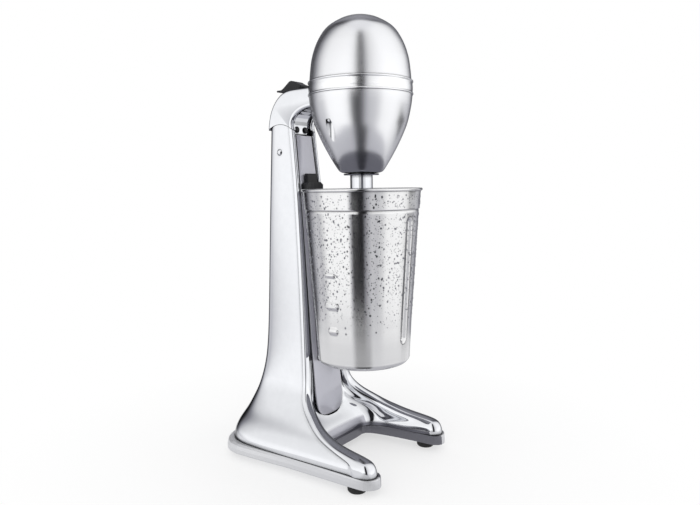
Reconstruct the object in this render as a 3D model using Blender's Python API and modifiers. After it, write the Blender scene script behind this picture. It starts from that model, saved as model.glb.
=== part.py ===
"""Countertop milkshake mixer, built from separate parts.

Frame: metres, +Z up. The cup and the toes face -Y and the column stands at +Y. Each piece is drawn in
millimetres from the spindle axis at table height and scaled by MM; at the end every piece is parented to
the empty of the joint that carries it, and the whole set is moved so that the origin is the centre of the
footprint.
"""

import math

import bmesh
import bpy
from mathutils import Matrix, Vector

MM = 0.001
GAP = 0.3
TURN = 32
FINE = 20
COARSE = 12

# Stand
PAN_LOW = 6.3
PAN_HIGH = 14.2
SEAM = 14.5
WALL = 2.8
PANEL_BASE_Y = 32.8
PANEL_SLOPE = 0.1046
PANEL_THICK = 2.3
FOOT_RADIUS = 8.0
FRONT_FOOT = (52.6, -30.7)
REAR_FOOT = (50.0, 94.0)

# Footprint: from the front of the cup rim to the back of the skirt
FRONT_Y = -50.7
REAR_Y = 118.0

# Hinge
HINGE_Y = 77.2
HINGE_Z = 266.3
PIN_RADIUS = 2.6
KNUCKLE = 24.0
FRONT_SHELF = 281.5
BARREL_HALF = 11.0

# Head
BAND_LOW = 309.4
BAND_HIGH = 320.5
HEAD_WALL = 1.6
NOSE_LOW = 246.5
DOME_PROFILE = (
    (0.0, 373.5), (6.5, 373.0), (12.2, 371.6), (17.3, 369.6), (24.7, 365.3), (29.8, 360.6),
    (34.3, 353.6), (37.5, 346.3), (39.9, 337.6), (41.2, 327.8), (41.8, BAND_HIGH + 0.15),
)
LOWER_PROFILE = (
    (42.6, BAND_LOW - 0.15), (42.2, 305.4), (41.4, 299.9), (38.9, 288.6), (35.9, 280.4), (31.6, 271.0),
    (26.2, 260.8), (20.9, 252.0), (18.2, 248.3), (15.6, 247.0), (12.6, NOSE_LOW),
)

# Cup
CUP_FLOOR = 87.7
CUP_RIM = 234.0
CUP_WALL = 0.9
CUP_BOTTOM_RADIUS = 38.8
CUP_RIM_RADIUS = 49.4

# Switch
ROCKER_Y = 72.0
ROCKER_Z = 320.6

# Motor and spindle
SHAFT_RADIUS = 2.8
STACK_LOW = 296.5
STACK_HIGH = 321.5
ROD_RADIUS = 3.2
HUB_RADIUS = 9.4
TIP_LOW = 102.0

PARTS = None
CUTTERS = None


# ---------------------------------------------------------------- scene and materials


def start_scene():
    global PARTS, CUTTERS
    for obj in list(bpy.data.objects):
        bpy.data.objects.remove(obj)
    PARTS = bpy.data.collections.new("milkshake_mixer")
    CUTTERS = bpy.data.collections.new("cutters")
    bpy.context.scene.collection.children.link(PARTS)
    bpy.context.scene.collection.children.link(CUTTERS)


def material(name, colour, roughness, metallic):
    mat = bpy.data.materials.get(name) or bpy.data.materials.new(name)
    mat.use_nodes = True
    shader = mat.node_tree.nodes["Principled BSDF"]
    shader.inputs["Base Color"].default_value = (*colour, 1.0)
    shader.inputs["Roughness"].default_value = roughness
    shader.inputs["Metallic"].default_value = metallic
    return mat


def chrome():
    return material("polished_chrome", (0.82, 0.83, 0.85), 0.08, 1.0)


def brushed():
    return material("brushed_steel", (0.66, 0.67, 0.69), 0.32, 1.0)


def satin_grey():
    return material("satin_grey", (0.55, 0.56, 0.58), 0.45, 0.6)


def lilac_panel():
    return material("glossy_panel", (0.58, 0.58, 0.66), 0.15, 0.4)


def black_plastic():
    return material("black_plastic", (0.02, 0.02, 0.022), 0.4, 0.0)


def rubber():
    return material("black_rubber", (0.015, 0.015, 0.015), 0.8, 0.0)


def lamination():
    return material("laminated_iron", (0.3, 0.3, 0.32), 0.5, 1.0)


def copper():
    return material("copper_wire", (0.72, 0.33, 0.14), 0.35, 1.0)


def bronze():
    return material("sintered_bronze", (0.55, 0.36, 0.16), 0.45, 1.0)


def carbon():
    return material("carbon", (0.05, 0.05, 0.055), 0.7, 0.0)


# ---------------------------------------------------------------- modelling helpers


def place(obj, mat, collection=None):
    (collection or PARTS).objects.link(obj)
    if mat:
        obj.data.materials.clear()
        obj.data.materials.append(mat)
    if not mat:
        obj.hide_render = True
        obj.display_type = "WIRE"
    return obj


def from_bmesh(name, bm, mat):
    bmesh.ops.recalc_face_normals(bm, faces=bm.faces)
    mesh = bpy.data.meshes.new(name)
    bm.to_mesh(mesh)
    bm.free()
    obj = bpy.data.objects.new(name, mesh)
    return place(obj, mat, None if mat else CUTTERS)


def smooth(obj, degrees=40.0):
    for polygon in obj.data.polygons:
        polygon.use_smooth = True
    obj.data.set_sharp_from_angle(angle=math.radians(degrees))
    return obj


def bevel(obj, width, segments=2, degrees=35.0):
    mod = obj.modifiers.new("rounded_edges", "BEVEL")
    mod.width = width * MM
    mod.segments = segments
    mod.limit_method = "ANGLE"
    mod.angle_limit = math.radians(degrees)
    return obj


def boolean(obj, other, operation):
    mod = obj.modifiers.new(operation.lower(), "BOOLEAN")
    mod.operation = operation
    mod.object = other
    mod.solver = "EXACT"
    return obj


def cut(obj, *cutters):
    for cutter in cutters:
        boolean(obj, cutter, "DIFFERENCE")
    return obj


def fuse(obj, *others):
    for other in others:
        boolean(obj, other, "UNION")
    return obj


def box(name, low, high, mat, edge=0.0, segments=2):
    size = [(b - a) * MM for a, b in zip(low, high)]
    centre = [(a + b) * MM / 2.0 for a, b in zip(low, high)]
    bm = bmesh.new()
    bmesh.ops.create_cube(bm, size=1.0)
    bmesh.ops.scale(bm, vec=size, verts=bm.verts)
    obj = from_bmesh(name, bm, mat)
    obj.location = centre
    if edge:
        bevel(obj, edge, segments)
    return obj


def rod(name, radius, length, centre, mat, axis="Z", segments=FINE, top=None):
    """A cylinder or a cone: top is the second radius, at the far end of the axis."""
    bm = bmesh.new()
    bmesh.ops.create_cone(
        bm,
        cap_ends=True,
        segments=segments,
        radius1=radius * MM,
        radius2=(radius if top is None else top) * MM,
        depth=length * MM,
    )
    obj = from_bmesh(name, bm, mat)
    obj.location = [c * MM for c in centre]
    if axis == "X":
        obj.rotation_euler = (0.0, math.pi / 2.0, 0.0)
    if axis == "Y":
        obj.rotation_euler = (-math.pi / 2.0, 0.0, 0.0)
    return obj


def turned(name, profile, mat, centre=(0.0, 0.0, 0.0), steps=TURN, closed=False, axis="Z"):
    """A profile of (radius, height) turned about its own Z. The outer side runs from the top down."""
    mesh = bpy.data.meshes.new(name)
    verts = [(r * MM, 0.0, z * MM) for r, z in profile]
    edges = [(i, i + 1) for i in range(len(verts) - 1)]
    if closed:
        edges.append((len(verts) - 1, 0))
    mesh.from_pydata(verts, edges, [])
    obj = bpy.data.objects.new(name, mesh)
    place(obj, mat, None if mat else CUTTERS)
    obj.location = [c * MM for c in centre]
    if axis == "X":
        obj.rotation_euler = (0.0, math.pi / 2.0, 0.0)
    if axis == "-X":
        obj.rotation_euler = (0.0, -math.pi / 2.0, 0.0)
    if axis == "Y":
        obj.rotation_euler = (-math.pi / 2.0, 0.0, 0.0)
    mod = obj.modifiers.new("turned", "SCREW")
    mod.axis = "Z"
    mod.steps = steps
    mod.render_steps = steps
    mod.use_merge_vertices = True
    mod.merge_threshold = 0.00001
    mod.use_smooth_shade = True
    mod.use_normal_calculate = False
    return obj


def shell_profile(outer, thickness):
    """A closed wall profile: the outer side down, then the inner side back up, offset along the normal."""
    inner = []
    last = len(outer) - 1
    for i, (r, z) in enumerate(outer):
        before = outer[max(i - 1, 0)]
        after = outer[min(i + 1, last)]
        dr = after[0] - before[0]
        dz = after[1] - before[1]
        size = math.hypot(dr, dz)
        if i in (0, last) and r > 0.0:
            dr, dz, size = (0.0, -1.0, 1.0) if abs(dz) > abs(dr) else (-1.0, 0.0, 1.0)
        inner.append((max(r + dz / size * thickness, 0.0), z - dr / size * thickness))
    return list(outer) + inner[::-1]


def to_mesh(obj, name, mat):
    """Replaces a curve, or an object with modifiers, by a welded mesh object."""
    bpy.context.view_layer.update()
    graph = bpy.context.evaluated_depsgraph_get()
    mesh = bpy.data.meshes.new_from_object(obj.evaluated_get(graph))
    matrix = obj.matrix_basis.copy()
    bpy.data.objects.remove(obj)
    bm = bmesh.new()
    bm.from_mesh(mesh)
    bmesh.ops.remove_doubles(bm, verts=bm.verts, dist=0.000001)
    bmesh.ops.recalc_face_normals(bm, faces=bm.faces)
    bm.to_mesh(mesh)
    bm.free()
    mesh.name = name
    made = bpy.data.objects.new(name, mesh)
    place(made, mat, None if mat else CUTTERS)
    made.matrix_basis = matrix
    return made


AXES = {
    "YZ": Matrix(((0, 0, 1, 0), (1, 0, 0, 0), (0, 1, 0, 0), (0, 0, 0, 1))),
    "XZ": Matrix(((1, 0, 0, 0), (0, 0, -1, 0), (0, 1, 0, 0), (0, 0, 0, 1))),
    "XY": Matrix.Identity(4),
}


def plate(name, outline, low, high, mat, plane="XY"):
    """A flat outline given in one plane and extruded between two positions on that plane's normal."""
    curve = bpy.data.curves.new(name + "_outline", "CURVE")
    curve.dimensions = "2D"
    curve.fill_mode = "BOTH"
    curve.extrude = (high - low) * MM / 2.0
    spline = curve.splines.new("POLY")
    spline.points.add(len(outline) - 1)
    for point, (a, b) in zip(spline.points, outline):
        point.co = (a * MM, b * MM, 0.0, 1.0)
    spline.use_cyclic_u = True
    holder = bpy.data.objects.new(name + "_outline", curve)
    PARTS.objects.link(holder)
    sign = -1.0 if plane == "XZ" else 1.0
    holder.matrix_basis = AXES[plane] @ Matrix.Translation((0.0, 0.0, sign * (low + high) * MM / 2.0))
    return to_mesh(holder, name, mat)


def tube(name, points, radius, mat, closed=False, sides=2):
    curve = bpy.data.curves.new(name + "_path", "CURVE")
    curve.dimensions = "3D"
    curve.bevel_depth = radius * MM
    curve.bevel_resolution = sides
    curve.use_fill_caps = not closed
    spline = curve.splines.new("POLY")
    spline.points.add(len(points) - 1)
    for point, co in zip(spline.points, points):
        point.co = (*[c * MM for c in co], 1.0)
    spline.use_cyclic_u = closed
    holder = bpy.data.objects.new(name + "_path", curve)
    PARTS.objects.link(holder)
    return smooth(to_mesh(holder, name, mat), 60.0)


def spline_through(points, steps):
    """Catmull-Rom points through an open list of points of any dimension."""
    ends = [points[0], *points, points[-1]]
    result = []
    for i in range(1, len(ends) - 2):
        a, b, c, d = (Vector(p) for p in ends[i - 1 : i + 3])
        for k in range(steps):
            t = k / steps
            result.append(
                tuple(0.5 * (2 * b + (c - a) * t + (2 * a - 5 * b + 4 * c - d) * t**2
                             + (3 * b - a - 3 * c + d) * t**3))
            )
    result.append(tuple(points[-1]))
    return result


def mirrored_outline(half):
    """Closes a half outline that starts and ends on X = 0."""
    return list(half) + [(-x, y) for x, y in reversed(half[1:-1])]


def arc(centre, radius, start, end, steps):
    """Points in a plane from one angle to another, in degrees, measured from the first axis."""
    result = []
    for i in range(steps + 1):
        angle = math.radians(start + (end - start) * i / steps)
        result.append((centre[0] + radius * math.cos(angle), centre[1] + radius * math.sin(angle)))
    return result


def loft(bm, rings):
    """Quads between rings of the same number of points; the first and last points lie on X = 0."""
    rows = [[bm.verts.new([c * MM for c in p]) for p in ring] for ring in rings]
    for upper, lower in zip(rows, rows[1:]):
        for i in range(len(upper) - 1):
            bm.faces.new((upper[i], upper[i + 1], lower[i + 1], lower[i]))
    return rows


# ---------------------------------------------------------------- stand


def panel_y(z):
    return PANEL_BASE_Y + PANEL_SLOPE * z


def bead(edge, out, width, rise):
    """The rounded rib beside the side face: a small step, then a half tube, ending at its inner foot."""
    out_y, out_z = out
    shape = [
        (0.0, 0.0), (0.9, 0.5), (0.7, rise * 0.8), (-width * 0.42, rise * 1.15), (-width * 0.9, rise * 0.7),
        (-width, -rise * 0.45),
    ]
    return [(edge[0] + across, edge[1] + up * out_y, edge[2] + up * out_z) for across, up in shape]


def column_ring(z, half, rear, corner, outer, inner):
    """One level of the column, from the rear middle round the side and rib to the recessed front."""
    floor = panel_y(z) + 1.7
    front = panel_y(z) - 1.0
    edge = (outer - 0.6, front + 4.2, z)
    return [
        (0.0, rear, z),
        ((half - corner) * 0.55, rear - 0.1, z),
        (half - corner, rear - 0.5, z),
        (half - 0.26 * corner, rear - 0.3 * corner - 0.4, z),
        (half, rear - corner - 1.5, z),
        (half + (outer - half) * 0.5, (rear + front) / 2.0 - 2.0, z),
        *bead(edge, (-1.0, 0.0), outer - 0.6 - inner, 4.2),
        (inner, floor, z),
        (inner * 0.8, floor, z),
        (inner * 0.4, floor, z),
        (0.0, floor, z),
    ]


def stand_rings():
    """Levels of the stand from the top of the column down to the seam above the base pan."""
    column = [
        column_ring(296.0, 15.9, 91.2, 6.5, 15.9, 10.4),
        column_ring(270.0, 16.2, 92.4, 6.5, 16.2, 10.9),
        column_ring(243.5, 16.7, 93.6, 6.5, 16.7, 11.4),
        column_ring(200.0, 18.3, 94.6, 6.5, 19.1, 13.0),
        column_ring(150.0, 20.8, 94.9, 6.5, 22.8, 15.2),
        column_ring(105.0, 24.4, 94.6, 7.5, 26.6, 17.6),
        column_ring(80.0, 27.7, 96.2, 9.5, 29.0, 19.2),
        column_ring(62.0, 31.6, 100.6, 11.7, 31.2, 20.4),
    ]
    base = [
        [
            (0, 104.2, 52.0), (12, 104.1, 52.0), (22, 103.2, 52.0), (33, 98.5, 52.0), (36.6, 87, 52.3),
            (36.2, 60, 53.0), *bead((35.0, 41.0, 53.0), (-0.92, 0.4), 11.4, 4.8),
            (21.4, 41.0, 52.0), (17, 41.0, 52.0), (8.5, 41.0, 52.0), (0, 41.0, 52.0),
        ],
        [
            (0, 107.6, 44.5), (15, 107.5, 44.5), (25.5, 106.2, 44.5), (37, 100.5, 44.5), (41.8, 87, 44.7),
            (41.0, 58, 44.8), *bead((40.0, 33.0, 44.0), (-0.72, 0.7), 11.4, 4.8),
            (23.0, 38.0, 43.8), (21.0, 40.1, 44), (10.5, 40.1, 44), (0, 40.1, 44),
        ],
        [
            (0, 110.4, 38.0), (18, 110.2, 38.0), (29, 108.5, 38.0), (41.5, 101.5, 38.0), (47.2, 87, 38.0),
            (46.5, 55, 37.8), *bead((46.0, 21.0, 37.4), (-0.5, 0.86), 11.4, 4.4),
            (29, 31.2, 36.2), (22.0, 39.0, 36.5), (12, 39.0, 36.5), (0, 39.0, 36.5),
        ],
        [
            (0, 112.0, 34.0), (20, 111.7, 34.0), (32.5, 109.5, 34.0), (45.5, 102, 34.0), (51.8, 87, 34.0),
            (50.8, 50, 33.8), *bead((49.6, 12.5, 32.8), (-0.4, 0.92), 11.4, 4.0),
            (34.3, 24.2, 31.6), (26.5, 31.2, 31.6), (14, 34.6, 31.4), (0, 34.8, 31.4),
        ],
        [
            (0, 113.0, 30.6), (22, 112.6, 30.6), (36, 110.2, 30.6), (50, 102.3, 30.6), (56.0, 86.5, 30.6),
            (54.8, 46, 30.3), *bead((52.8, 1.5, 29.4), (-0.35, 0.94), 11.6, 3.6),
            (36.9, 17.6, 27.0), (30.0, 26.4, 27.2), (17, 28.8, 27.0), (0, 29.2, 27.0),
        ],
        [
            (0, 113.8, 27.2), (24, 113.4, 27.2), (39.5, 110.8, 27.2), (54, 102.5, 27.2), (59.8, 86.3, 27.2),
            (58.0, 42, 26.8), *bead((55.4, -12.0, 26.0), (-0.3, 0.95), 12.6, 3.4),
            (38.4, 12.0, 22.6), (32.4, 23.2, 23.2), (18, 24.4, 23.0), (0, 24.6, 23.0),
        ],
        [
            (0, 114.3, 23.0), (26, 113.9, 23.0), (42.5, 111.2, 23.0), (57.3, 102.8, 23.0), (63.6, 86.2, 23.0),
            (60.8, 38, 22.6), (57.9, -25.2, 23.2), (59.4, -29.4, 23.6), (57.9, -37.0, 26.0),
            (51.7, -39.6, 27.3),
            (44.9, -37.0, 25.8), (42.9, -16.0, 21.0), (38.6, 8.6, 18.8), (32.6, 21.6, 19.0), (18, 22.5, 18.6),
            (0, 22.7, 18.6),
        ],
        [
            (0, 114.5, 20.0), (26.6, 114.1, 20.0), (43.8, 111.3, 20.0), (58.4, 103.0, 20.0),
            (65.0, 86.1, 20.0),
            (61.8, 37, 20.0), (59.2, -27.4, 20.2), (60.8, -31.0, 20.6), (59.6, -42.4, 23.0),
            (51.6, -46.4, 24.2),
            (43.4, -42.4, 22.8), (42.0, -22.0, 18.8), (38.2, 7.2, 17.6), (32.2, 21.4, 17.4),
            (17.7, 22.2, 17.2),
            (0, 22.3, 17.2),
        ],
        [
            (0, 114.6, 17.4), (27, 114.2, 17.4), (44.5, 111.4, 17.4), (59, 103.2, 17.4), (65.9, 86, 17.4),
            (62.4, 36, 17.4), (60.0, -28.0, 17.4), (61.0, -32.4, 17.4), (60.0, -44.6, 17.8),
            (51.6, -48.8, 18.2),
            (43.0, -44.6, 17.8), (41.8, -26.0, 16.6), (38.0, 6.2, 16.3), (32.0, 21.2, 16.0),
            (17.5, 21.9, 15.8),
            (0, 22.0, 15.8),
        ],
        [
            (0, 114.6, SEAM), (27.5, 114.2, SEAM), (45, 111.4, SEAM), (58.9, 103.3, SEAM), (66.4, 86, SEAM),
            (62.9, 35, SEAM), (60.2, -28.0, SEAM), (61.0, -33.0, SEAM), (60.0, -44.8, SEAM),
            (51.6, -49.0, SEAM),
            (43.0, -44.8, SEAM), (41.6, -27.0, SEAM), (37.7, 5.4, SEAM), (31.8, 21.0, SEAM),
            (17.5, 21.6, SEAM),
            (0, 21.7, SEAM),
        ],
    ]
    return column + base


def cavity_rings():
    """Levels of the hollow inside the stand, from above the column down to below the seam."""

    def column(z, half, rear):
        front = panel_y(z) + PANEL_THICK + GAP + WALL
        side = half - WALL
        return [
            (0, rear - WALL, z), (side - 5, rear - WALL, z), (side - 1.4, rear - WALL - 2, z),
            (side, rear - WALL - 6, z), (side, (rear + front) / 2, z), (side, front + 4, z),
            (side - 0.8, front + 1.2, z), (side - 2.5, front, z), (side * 0.5, front, z), (0, front, z),
        ]

    return [
        column(300.0, 15.9, 91.0),
        column(243.5, 16.7, 93.4),
        column(150.0, 20.6, 94.6),
        column(105.0, 24.0, 94.3),
        column(80.0, 27.0, 95.8),
        column(64.0, 30.4, 99.0),
        [
            (0, 103.5, 44), (24, 102.5, 44), (34, 96, 44), (37, 84, 44), (37, 60, 44),
            (35, 46, 43), (32, 44, 42), (26, 43.6, 42), (12, 43.6, 42), (0, 43.6, 42),
        ],
        [
            (0, 108.5, 32), (30, 106.5, 32), (43, 98, 32), (48.5, 84, 32), (48.5, 50, 30.5),
            (46.5, 21, 28.5), (43.5, 20, 28), (34, 32.5, 27.5), (16, 37.8, 27.5), (0, 38, 27.5),
        ],
        [
            (0, 110.5, 23), (36, 108, 23), (53.5, 99.5, 23), (59, 84.5, 23), (56.3, 38, 21.5),
            (52.6, -22, 20.5), (49.6, -22, 20.3), (42.2, 10, 18), (35, 25.6, 17.4), (0, 26.4, 17),
        ],
        [
            (0, 111.4, 12), (38, 109.5, 12), (56.5, 100.5, 12), (63.2, 85.5, 12), (59.8, 35, 12),
            (54.8, -30, 12), (50.0, -32, 12), (41.6, 6, 12), (34.6, 24, 12), (0, 24.8, 12),
        ],
    ]


def capped_solid(name, rings, levels, creases, mat):
    """A half skin, mirrored and smoothed, whose open top and bottom rings are closed flat."""
    bm = bmesh.new()
    rows = loft(bm, rings)
    layer = bm.edges.layers.float.new("crease_edge")
    for edge in bm.edges:
        if len(edge.link_faces) == 1 and max(abs(v.co.x) for v in edge.verts) > 1e-6:
            edge[layer] = 1.0
    for index, value in creases.items():
        for upper, lower in zip(rows, rows[1:]):
            edge = bm.edges.get((upper[index], lower[index]))
            edge[layer] = value
    skin = from_bmesh(name + "_skin", bm, chrome())
    mirror = skin.modifiers.new("both_sides", "MIRROR")
    mirror.merge_threshold = 0.00005
    if levels:
        soft = skin.modifiers.new("soft", "SUBSURF")
        soft.levels = levels
        soft.render_levels = levels
    solid = to_mesh(skin, name, mat)
    bm = bmesh.new()
    bm.from_mesh(solid.data)
    bmesh.ops.holes_fill(bm, edges=[e for e in bm.edges if e.is_boundary], sides=0)
    bmesh.ops.recalc_face_normals(bm, faces=bm.faces)
    bm.to_mesh(solid.data)
    bm.free()
    return solid


def knuckle_outline(radius, shelf, reach):
    """The region above the hinge knuckle, in Y and Z: an arc about the pin and a level front shelf."""
    drop = shelf - HINGE_Z
    start = math.degrees(math.asin(drop / radius))
    curve = arc((HINGE_Y, HINGE_Z), radius, 180.0 - start, 0.0, 26)
    return [(reach[0], shelf), *curve, (reach[1], HINGE_Z), (reach[1], reach[2]), (reach[0], reach[2])]


def build_stand_casting():
    stand = capped_solid("stand_casting", stand_rings(), 1, {6: 0.85, 7: 0.5, 12: 0.8}, chrome())
    smooth(stand, 45.0)
    hollow = capped_solid("cut_stand_hollow", cavity_rings(), 0, {}, None)
    above = knuckle_outline(KNUCKLE, FRONT_SHELF, (40.0, 115.0, 320.0))
    top = plate("cut_knuckle", above, -30, 30, None, "YZ")
    slot = box("cut_rear_slot", (-BARREL_HALF - 0.7, 82.0, 254.5), (BARREL_HALF + 0.7, 102.0, 300.0), None)
    bore = rod("cut_pin_bore", PIN_RADIUS + GAP, 60.0, (0, HINGE_Y, HINGE_Z), None, "X", COARSE)
    mouth = box("cut_front_mouth", (-12.2, 45.0, FRONT_SHELF - 0.25), (12.2, 72.0, 300.0), None)
    cord = rod("cut_cord_bore", 4.6, 30.0, (0, 112.0, 24.0), None, "Y", COARSE)
    pocket = panel_sheet("cut_panel_pocket", GAP, -12.0, PANEL_THICK + GAP, None)
    cut(stand, hollow, top, slot, mouth, bore, cord, pocket)


def panel_sheet(name, margin, front, back, mat):
    """The front panel's outline, leaned back to follow the front of the column, between two depths."""
    half_top = 10.0 + margin
    half_low = 17.6 + margin
    top = FRONT_SHELF - 0.5 + (20.0 if margin else 0.0)
    low = 31.8 - margin
    half = [(0.0, top), (half_top, top)]
    half += [(half_low, 80.0), (half_low + 0.6, 56.0), (half_low + 0.2, 46.0)]
    half += [(16.6 + margin, 39.2), (14.0 + margin, 35.2), (10.4 + margin, 33.0)]
    half += [(6.0, low + 0.25), (0.0, low)]
    sheet = plate(name, mirrored_outline(half), 0.0, 1.0, mat, "XZ")
    sheet.matrix_basis = Matrix.Identity(4)
    for vert in sheet.data.vertices:
        x, y, z = vert.co
        depth = back if z > 0.0 else front
        vert.co = (x, (panel_y(y / MM) + depth) * MM, y)
    sheet.data.flip_normals()
    return sheet


def build_column_panel():
    panel = panel_sheet("column_panel", 0.0, 0.0, PANEL_THICK, lilac_panel())
    bevel(panel, 0.5, 1)
    smooth(panel, 30.0)


def build_base_pan():
    """The grey pan under the stand: a rounded skirt standing round a flat floor."""
    rim = [(x, y) for x, y, _ in stand_rings()[-1]]
    rim[6] = (61.4, -6.0)  # the pan runs straight where the side face steps out to the toe
    skirt = [
        (0, REAR_Y), (29, 117.5), (48.5, 114.6), (63.7, 105.2), (70.9, 86.3), (66.0, 34.0), (63.6, -6.0),
        (61.9, -34.0), (59.6, -44.8), (51.6, -50.4), (43.4, -45.2), (40.7, -24.0), (36.4, 4.2), (30.4, 20.6),
        (17, 21.2), (0, 21.3),
    ]

    def between(share, inset, z):
        points = []
        for (sx, sy), (kx, ky) in zip(rim, skirt):
            points.append((sx + (kx - sx) * share, sy + (ky - sy) * share))
        fine = spline_through(points, 3)
        return [(x, y, z) for x, y in offset_inwards(fine, inset)]

    rings = [
        between(0.35, 0.0, PAN_HIGH),
        between(0.72, 0.0, PAN_HIGH - 1.2),
        between(0.95, 0.0, PAN_HIGH - 4.0),
        between(1.0, 0.0, PAN_LOW + 0.8),
        between(0.94, 0.0, PAN_LOW),
    ]
    pan = capped_solid("base_pan", rings, 0, {}, satin_grey())
    hollow = capped_solid(
        "cut_pan_hollow",
        [between(0.0, 2.4, PAN_HIGH + 3.0), between(0.0, 2.4, PAN_LOW + 2.4)],
        0,
        {},
        None,
    )
    cut(pan, hollow)
    for x, y in foot_positions():
        cut(pan, rod(f"cut_screw_{x:.0f}_{y:.0f}", 1.9, 12.0, (x, y, PAN_LOW), None, "Z", 12))
    smooth(pan, 40.0)


def offset_inwards(points, distance):
    """Moves a half outline inwards; the first and last points stay on X = 0."""
    if not distance:
        return points
    moved = []
    last = len(points) - 1
    for i, (x, y) in enumerate(points):
        before = Vector(points[max(i - 1, 0)])
        after = Vector(points[min(i + 1, last)])
        along = (after - before).normalized()
        normal = Vector((along.y, -along.x))
        new = Vector((x, y)) + normal * distance
        if i in (0, last):
            new.x = 0.0
        moved.append((new.x, new.y))
    return moved


def foot_positions():
    return [(s * x, y) for x, y in (FRONT_FOOT, REAR_FOOT) for s in (-1, 1)]


def foot_names():
    return ("front_right", "front_left", "rear_right", "rear_left")


def build_feet():
    for side, (x, y) in zip(foot_names(), foot_positions()):
        radius = FOOT_RADIUS if y < 0 else FOOT_RADIUS + 1.0
        profile = [
            (radius - 1.0, PAN_LOW - GAP), (radius, 4.6), (radius - 0.3, 1.0), (radius - 1.2, 0.0),
            (4.6, 0.0), (4.6, 2.4), (2.1, 2.4), (2.1, PAN_LOW - GAP),
        ]
        turned("foot_" + side, profile, rubber(), (x, y, 0.0), FINE, closed=True)
        screw = [
            (0.0, 13.0), (1.2, 12.6), (1.6, 12.0), (1.6, 2.1), (3.6, 2.1), (3.6, 1.2), (2.6, 0.6),
            (0.0, 0.6),
        ]
        turned("foot_screw_" + side, screw, lamination(), (x, y, 0.0), 12)


def build_cup_guide():
    """The black saddle the back of the rim leans against, with its upright block."""
    back = panel_y(229.0) - 0.35
    wing = plate(
        "cup_guide",
        [(-10.6, 229.0), (10.6, 229.0), (10.9, 237.6), (8.0, 240.0), (-8.0, 240.0), (-10.9, 237.6)],
        50.4, back, black_plastic(), "XZ",
    )
    block = box("cut_guide_block", (-6.5, 53.6, 236.0), (6.5, panel_y(236.0) - 0.35, 247.4), None, 0.6)
    fuse(wing, block)
    cut(wing, rod("cut_guide_rim", 51.6, 60.0, (0, 0, 236.0), None, "Z", 64))
    smooth(wing, 35.0)


def build_cup_rest():
    z = CUP_FLOOR - GAP
    back = panel_y(z - 5.0) - 0.4
    rest = box("cup_rest", (-12.0, 27.5, z - 4.8), (12.0, back, z), black_plastic(), 0.8)
    smooth(rest, 35.0)


def build_hinge():
    half = 17.3
    profile = [
        (0.0, half), (1.6, half - 0.15), (PIN_RADIUS, half - 0.9), (PIN_RADIUS, -half + 0.9),
        (1.6, -half + 0.15), (0.0, -half),
    ]
    turned("hinge_pin", profile, chrome(), (0, HINGE_Y, HINGE_Z), FINE, axis="X")
    for side, sign in (("left", 1.0), ("right", -1.0)):
        washer = [(6.4, 0.65), (6.4, -0.65), (PIN_RADIUS + GAP, -0.65), (PIN_RADIUS + GAP, 0.65)]
        x = sign * (BARREL_HALF + 1.05)
        turned("hinge_washer_" + side, washer, black_plastic(), (x, HINGE_Y, HINGE_Z), FINE, True, "X")


def build_cord():
    """The cord entry in the rear of the stand and the run of cord inside the column."""
    grommet = [
        (6.6, 3.6), (6.9, 1.2), (6.2, 0.3), (4.2, 0.3), (4.2, -5.6), (3.3, -5.6), (3.3, 3.6),
    ]
    turned("cord_grommet", grommet, rubber(), (0, 114.2, 24.0), FINE, True, "Y")
    path = spline_through(
        [(0, 117.5, 24.0), (0, 108.0, 24.0), (0, 92.0, 27.0), (0, 80.0, 42.0), (0, 77.0, 80.0),
         (0, 79.0, 150.0), (0, 79.0, 228.0)], 3,
    )
    tube("supply_cord", path, 2.9, rubber())


# ---------------------------------------------------------------- neck


def neck_side():
    """The side outline of the neck in Y and Z, from the front shelf over the rear to the head."""
    outer = [
        (91.6, 262.0), (91.5, 284.0), (91.0, 291.0), (89.0, 299.6), (85.2, 307.2), (79.6, 313.6),
        (72.6, 317.8), (64.0, 319.4), (52.0, 319.5), (34.0, 319.5),
    ]
    inner = [
        (34.0, 304.0), (41.0, 303.6), (46.4, 302.7), (53.2, 300.6), (58.6, 297.4), (61.9, 293.0),
        (62.7, 288.4), (61.6, 284.4), (61.0, 281.0), (61.0, 262.0),
    ]
    return spline_through(outer, 2) + spline_through(inner, 2)


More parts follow.
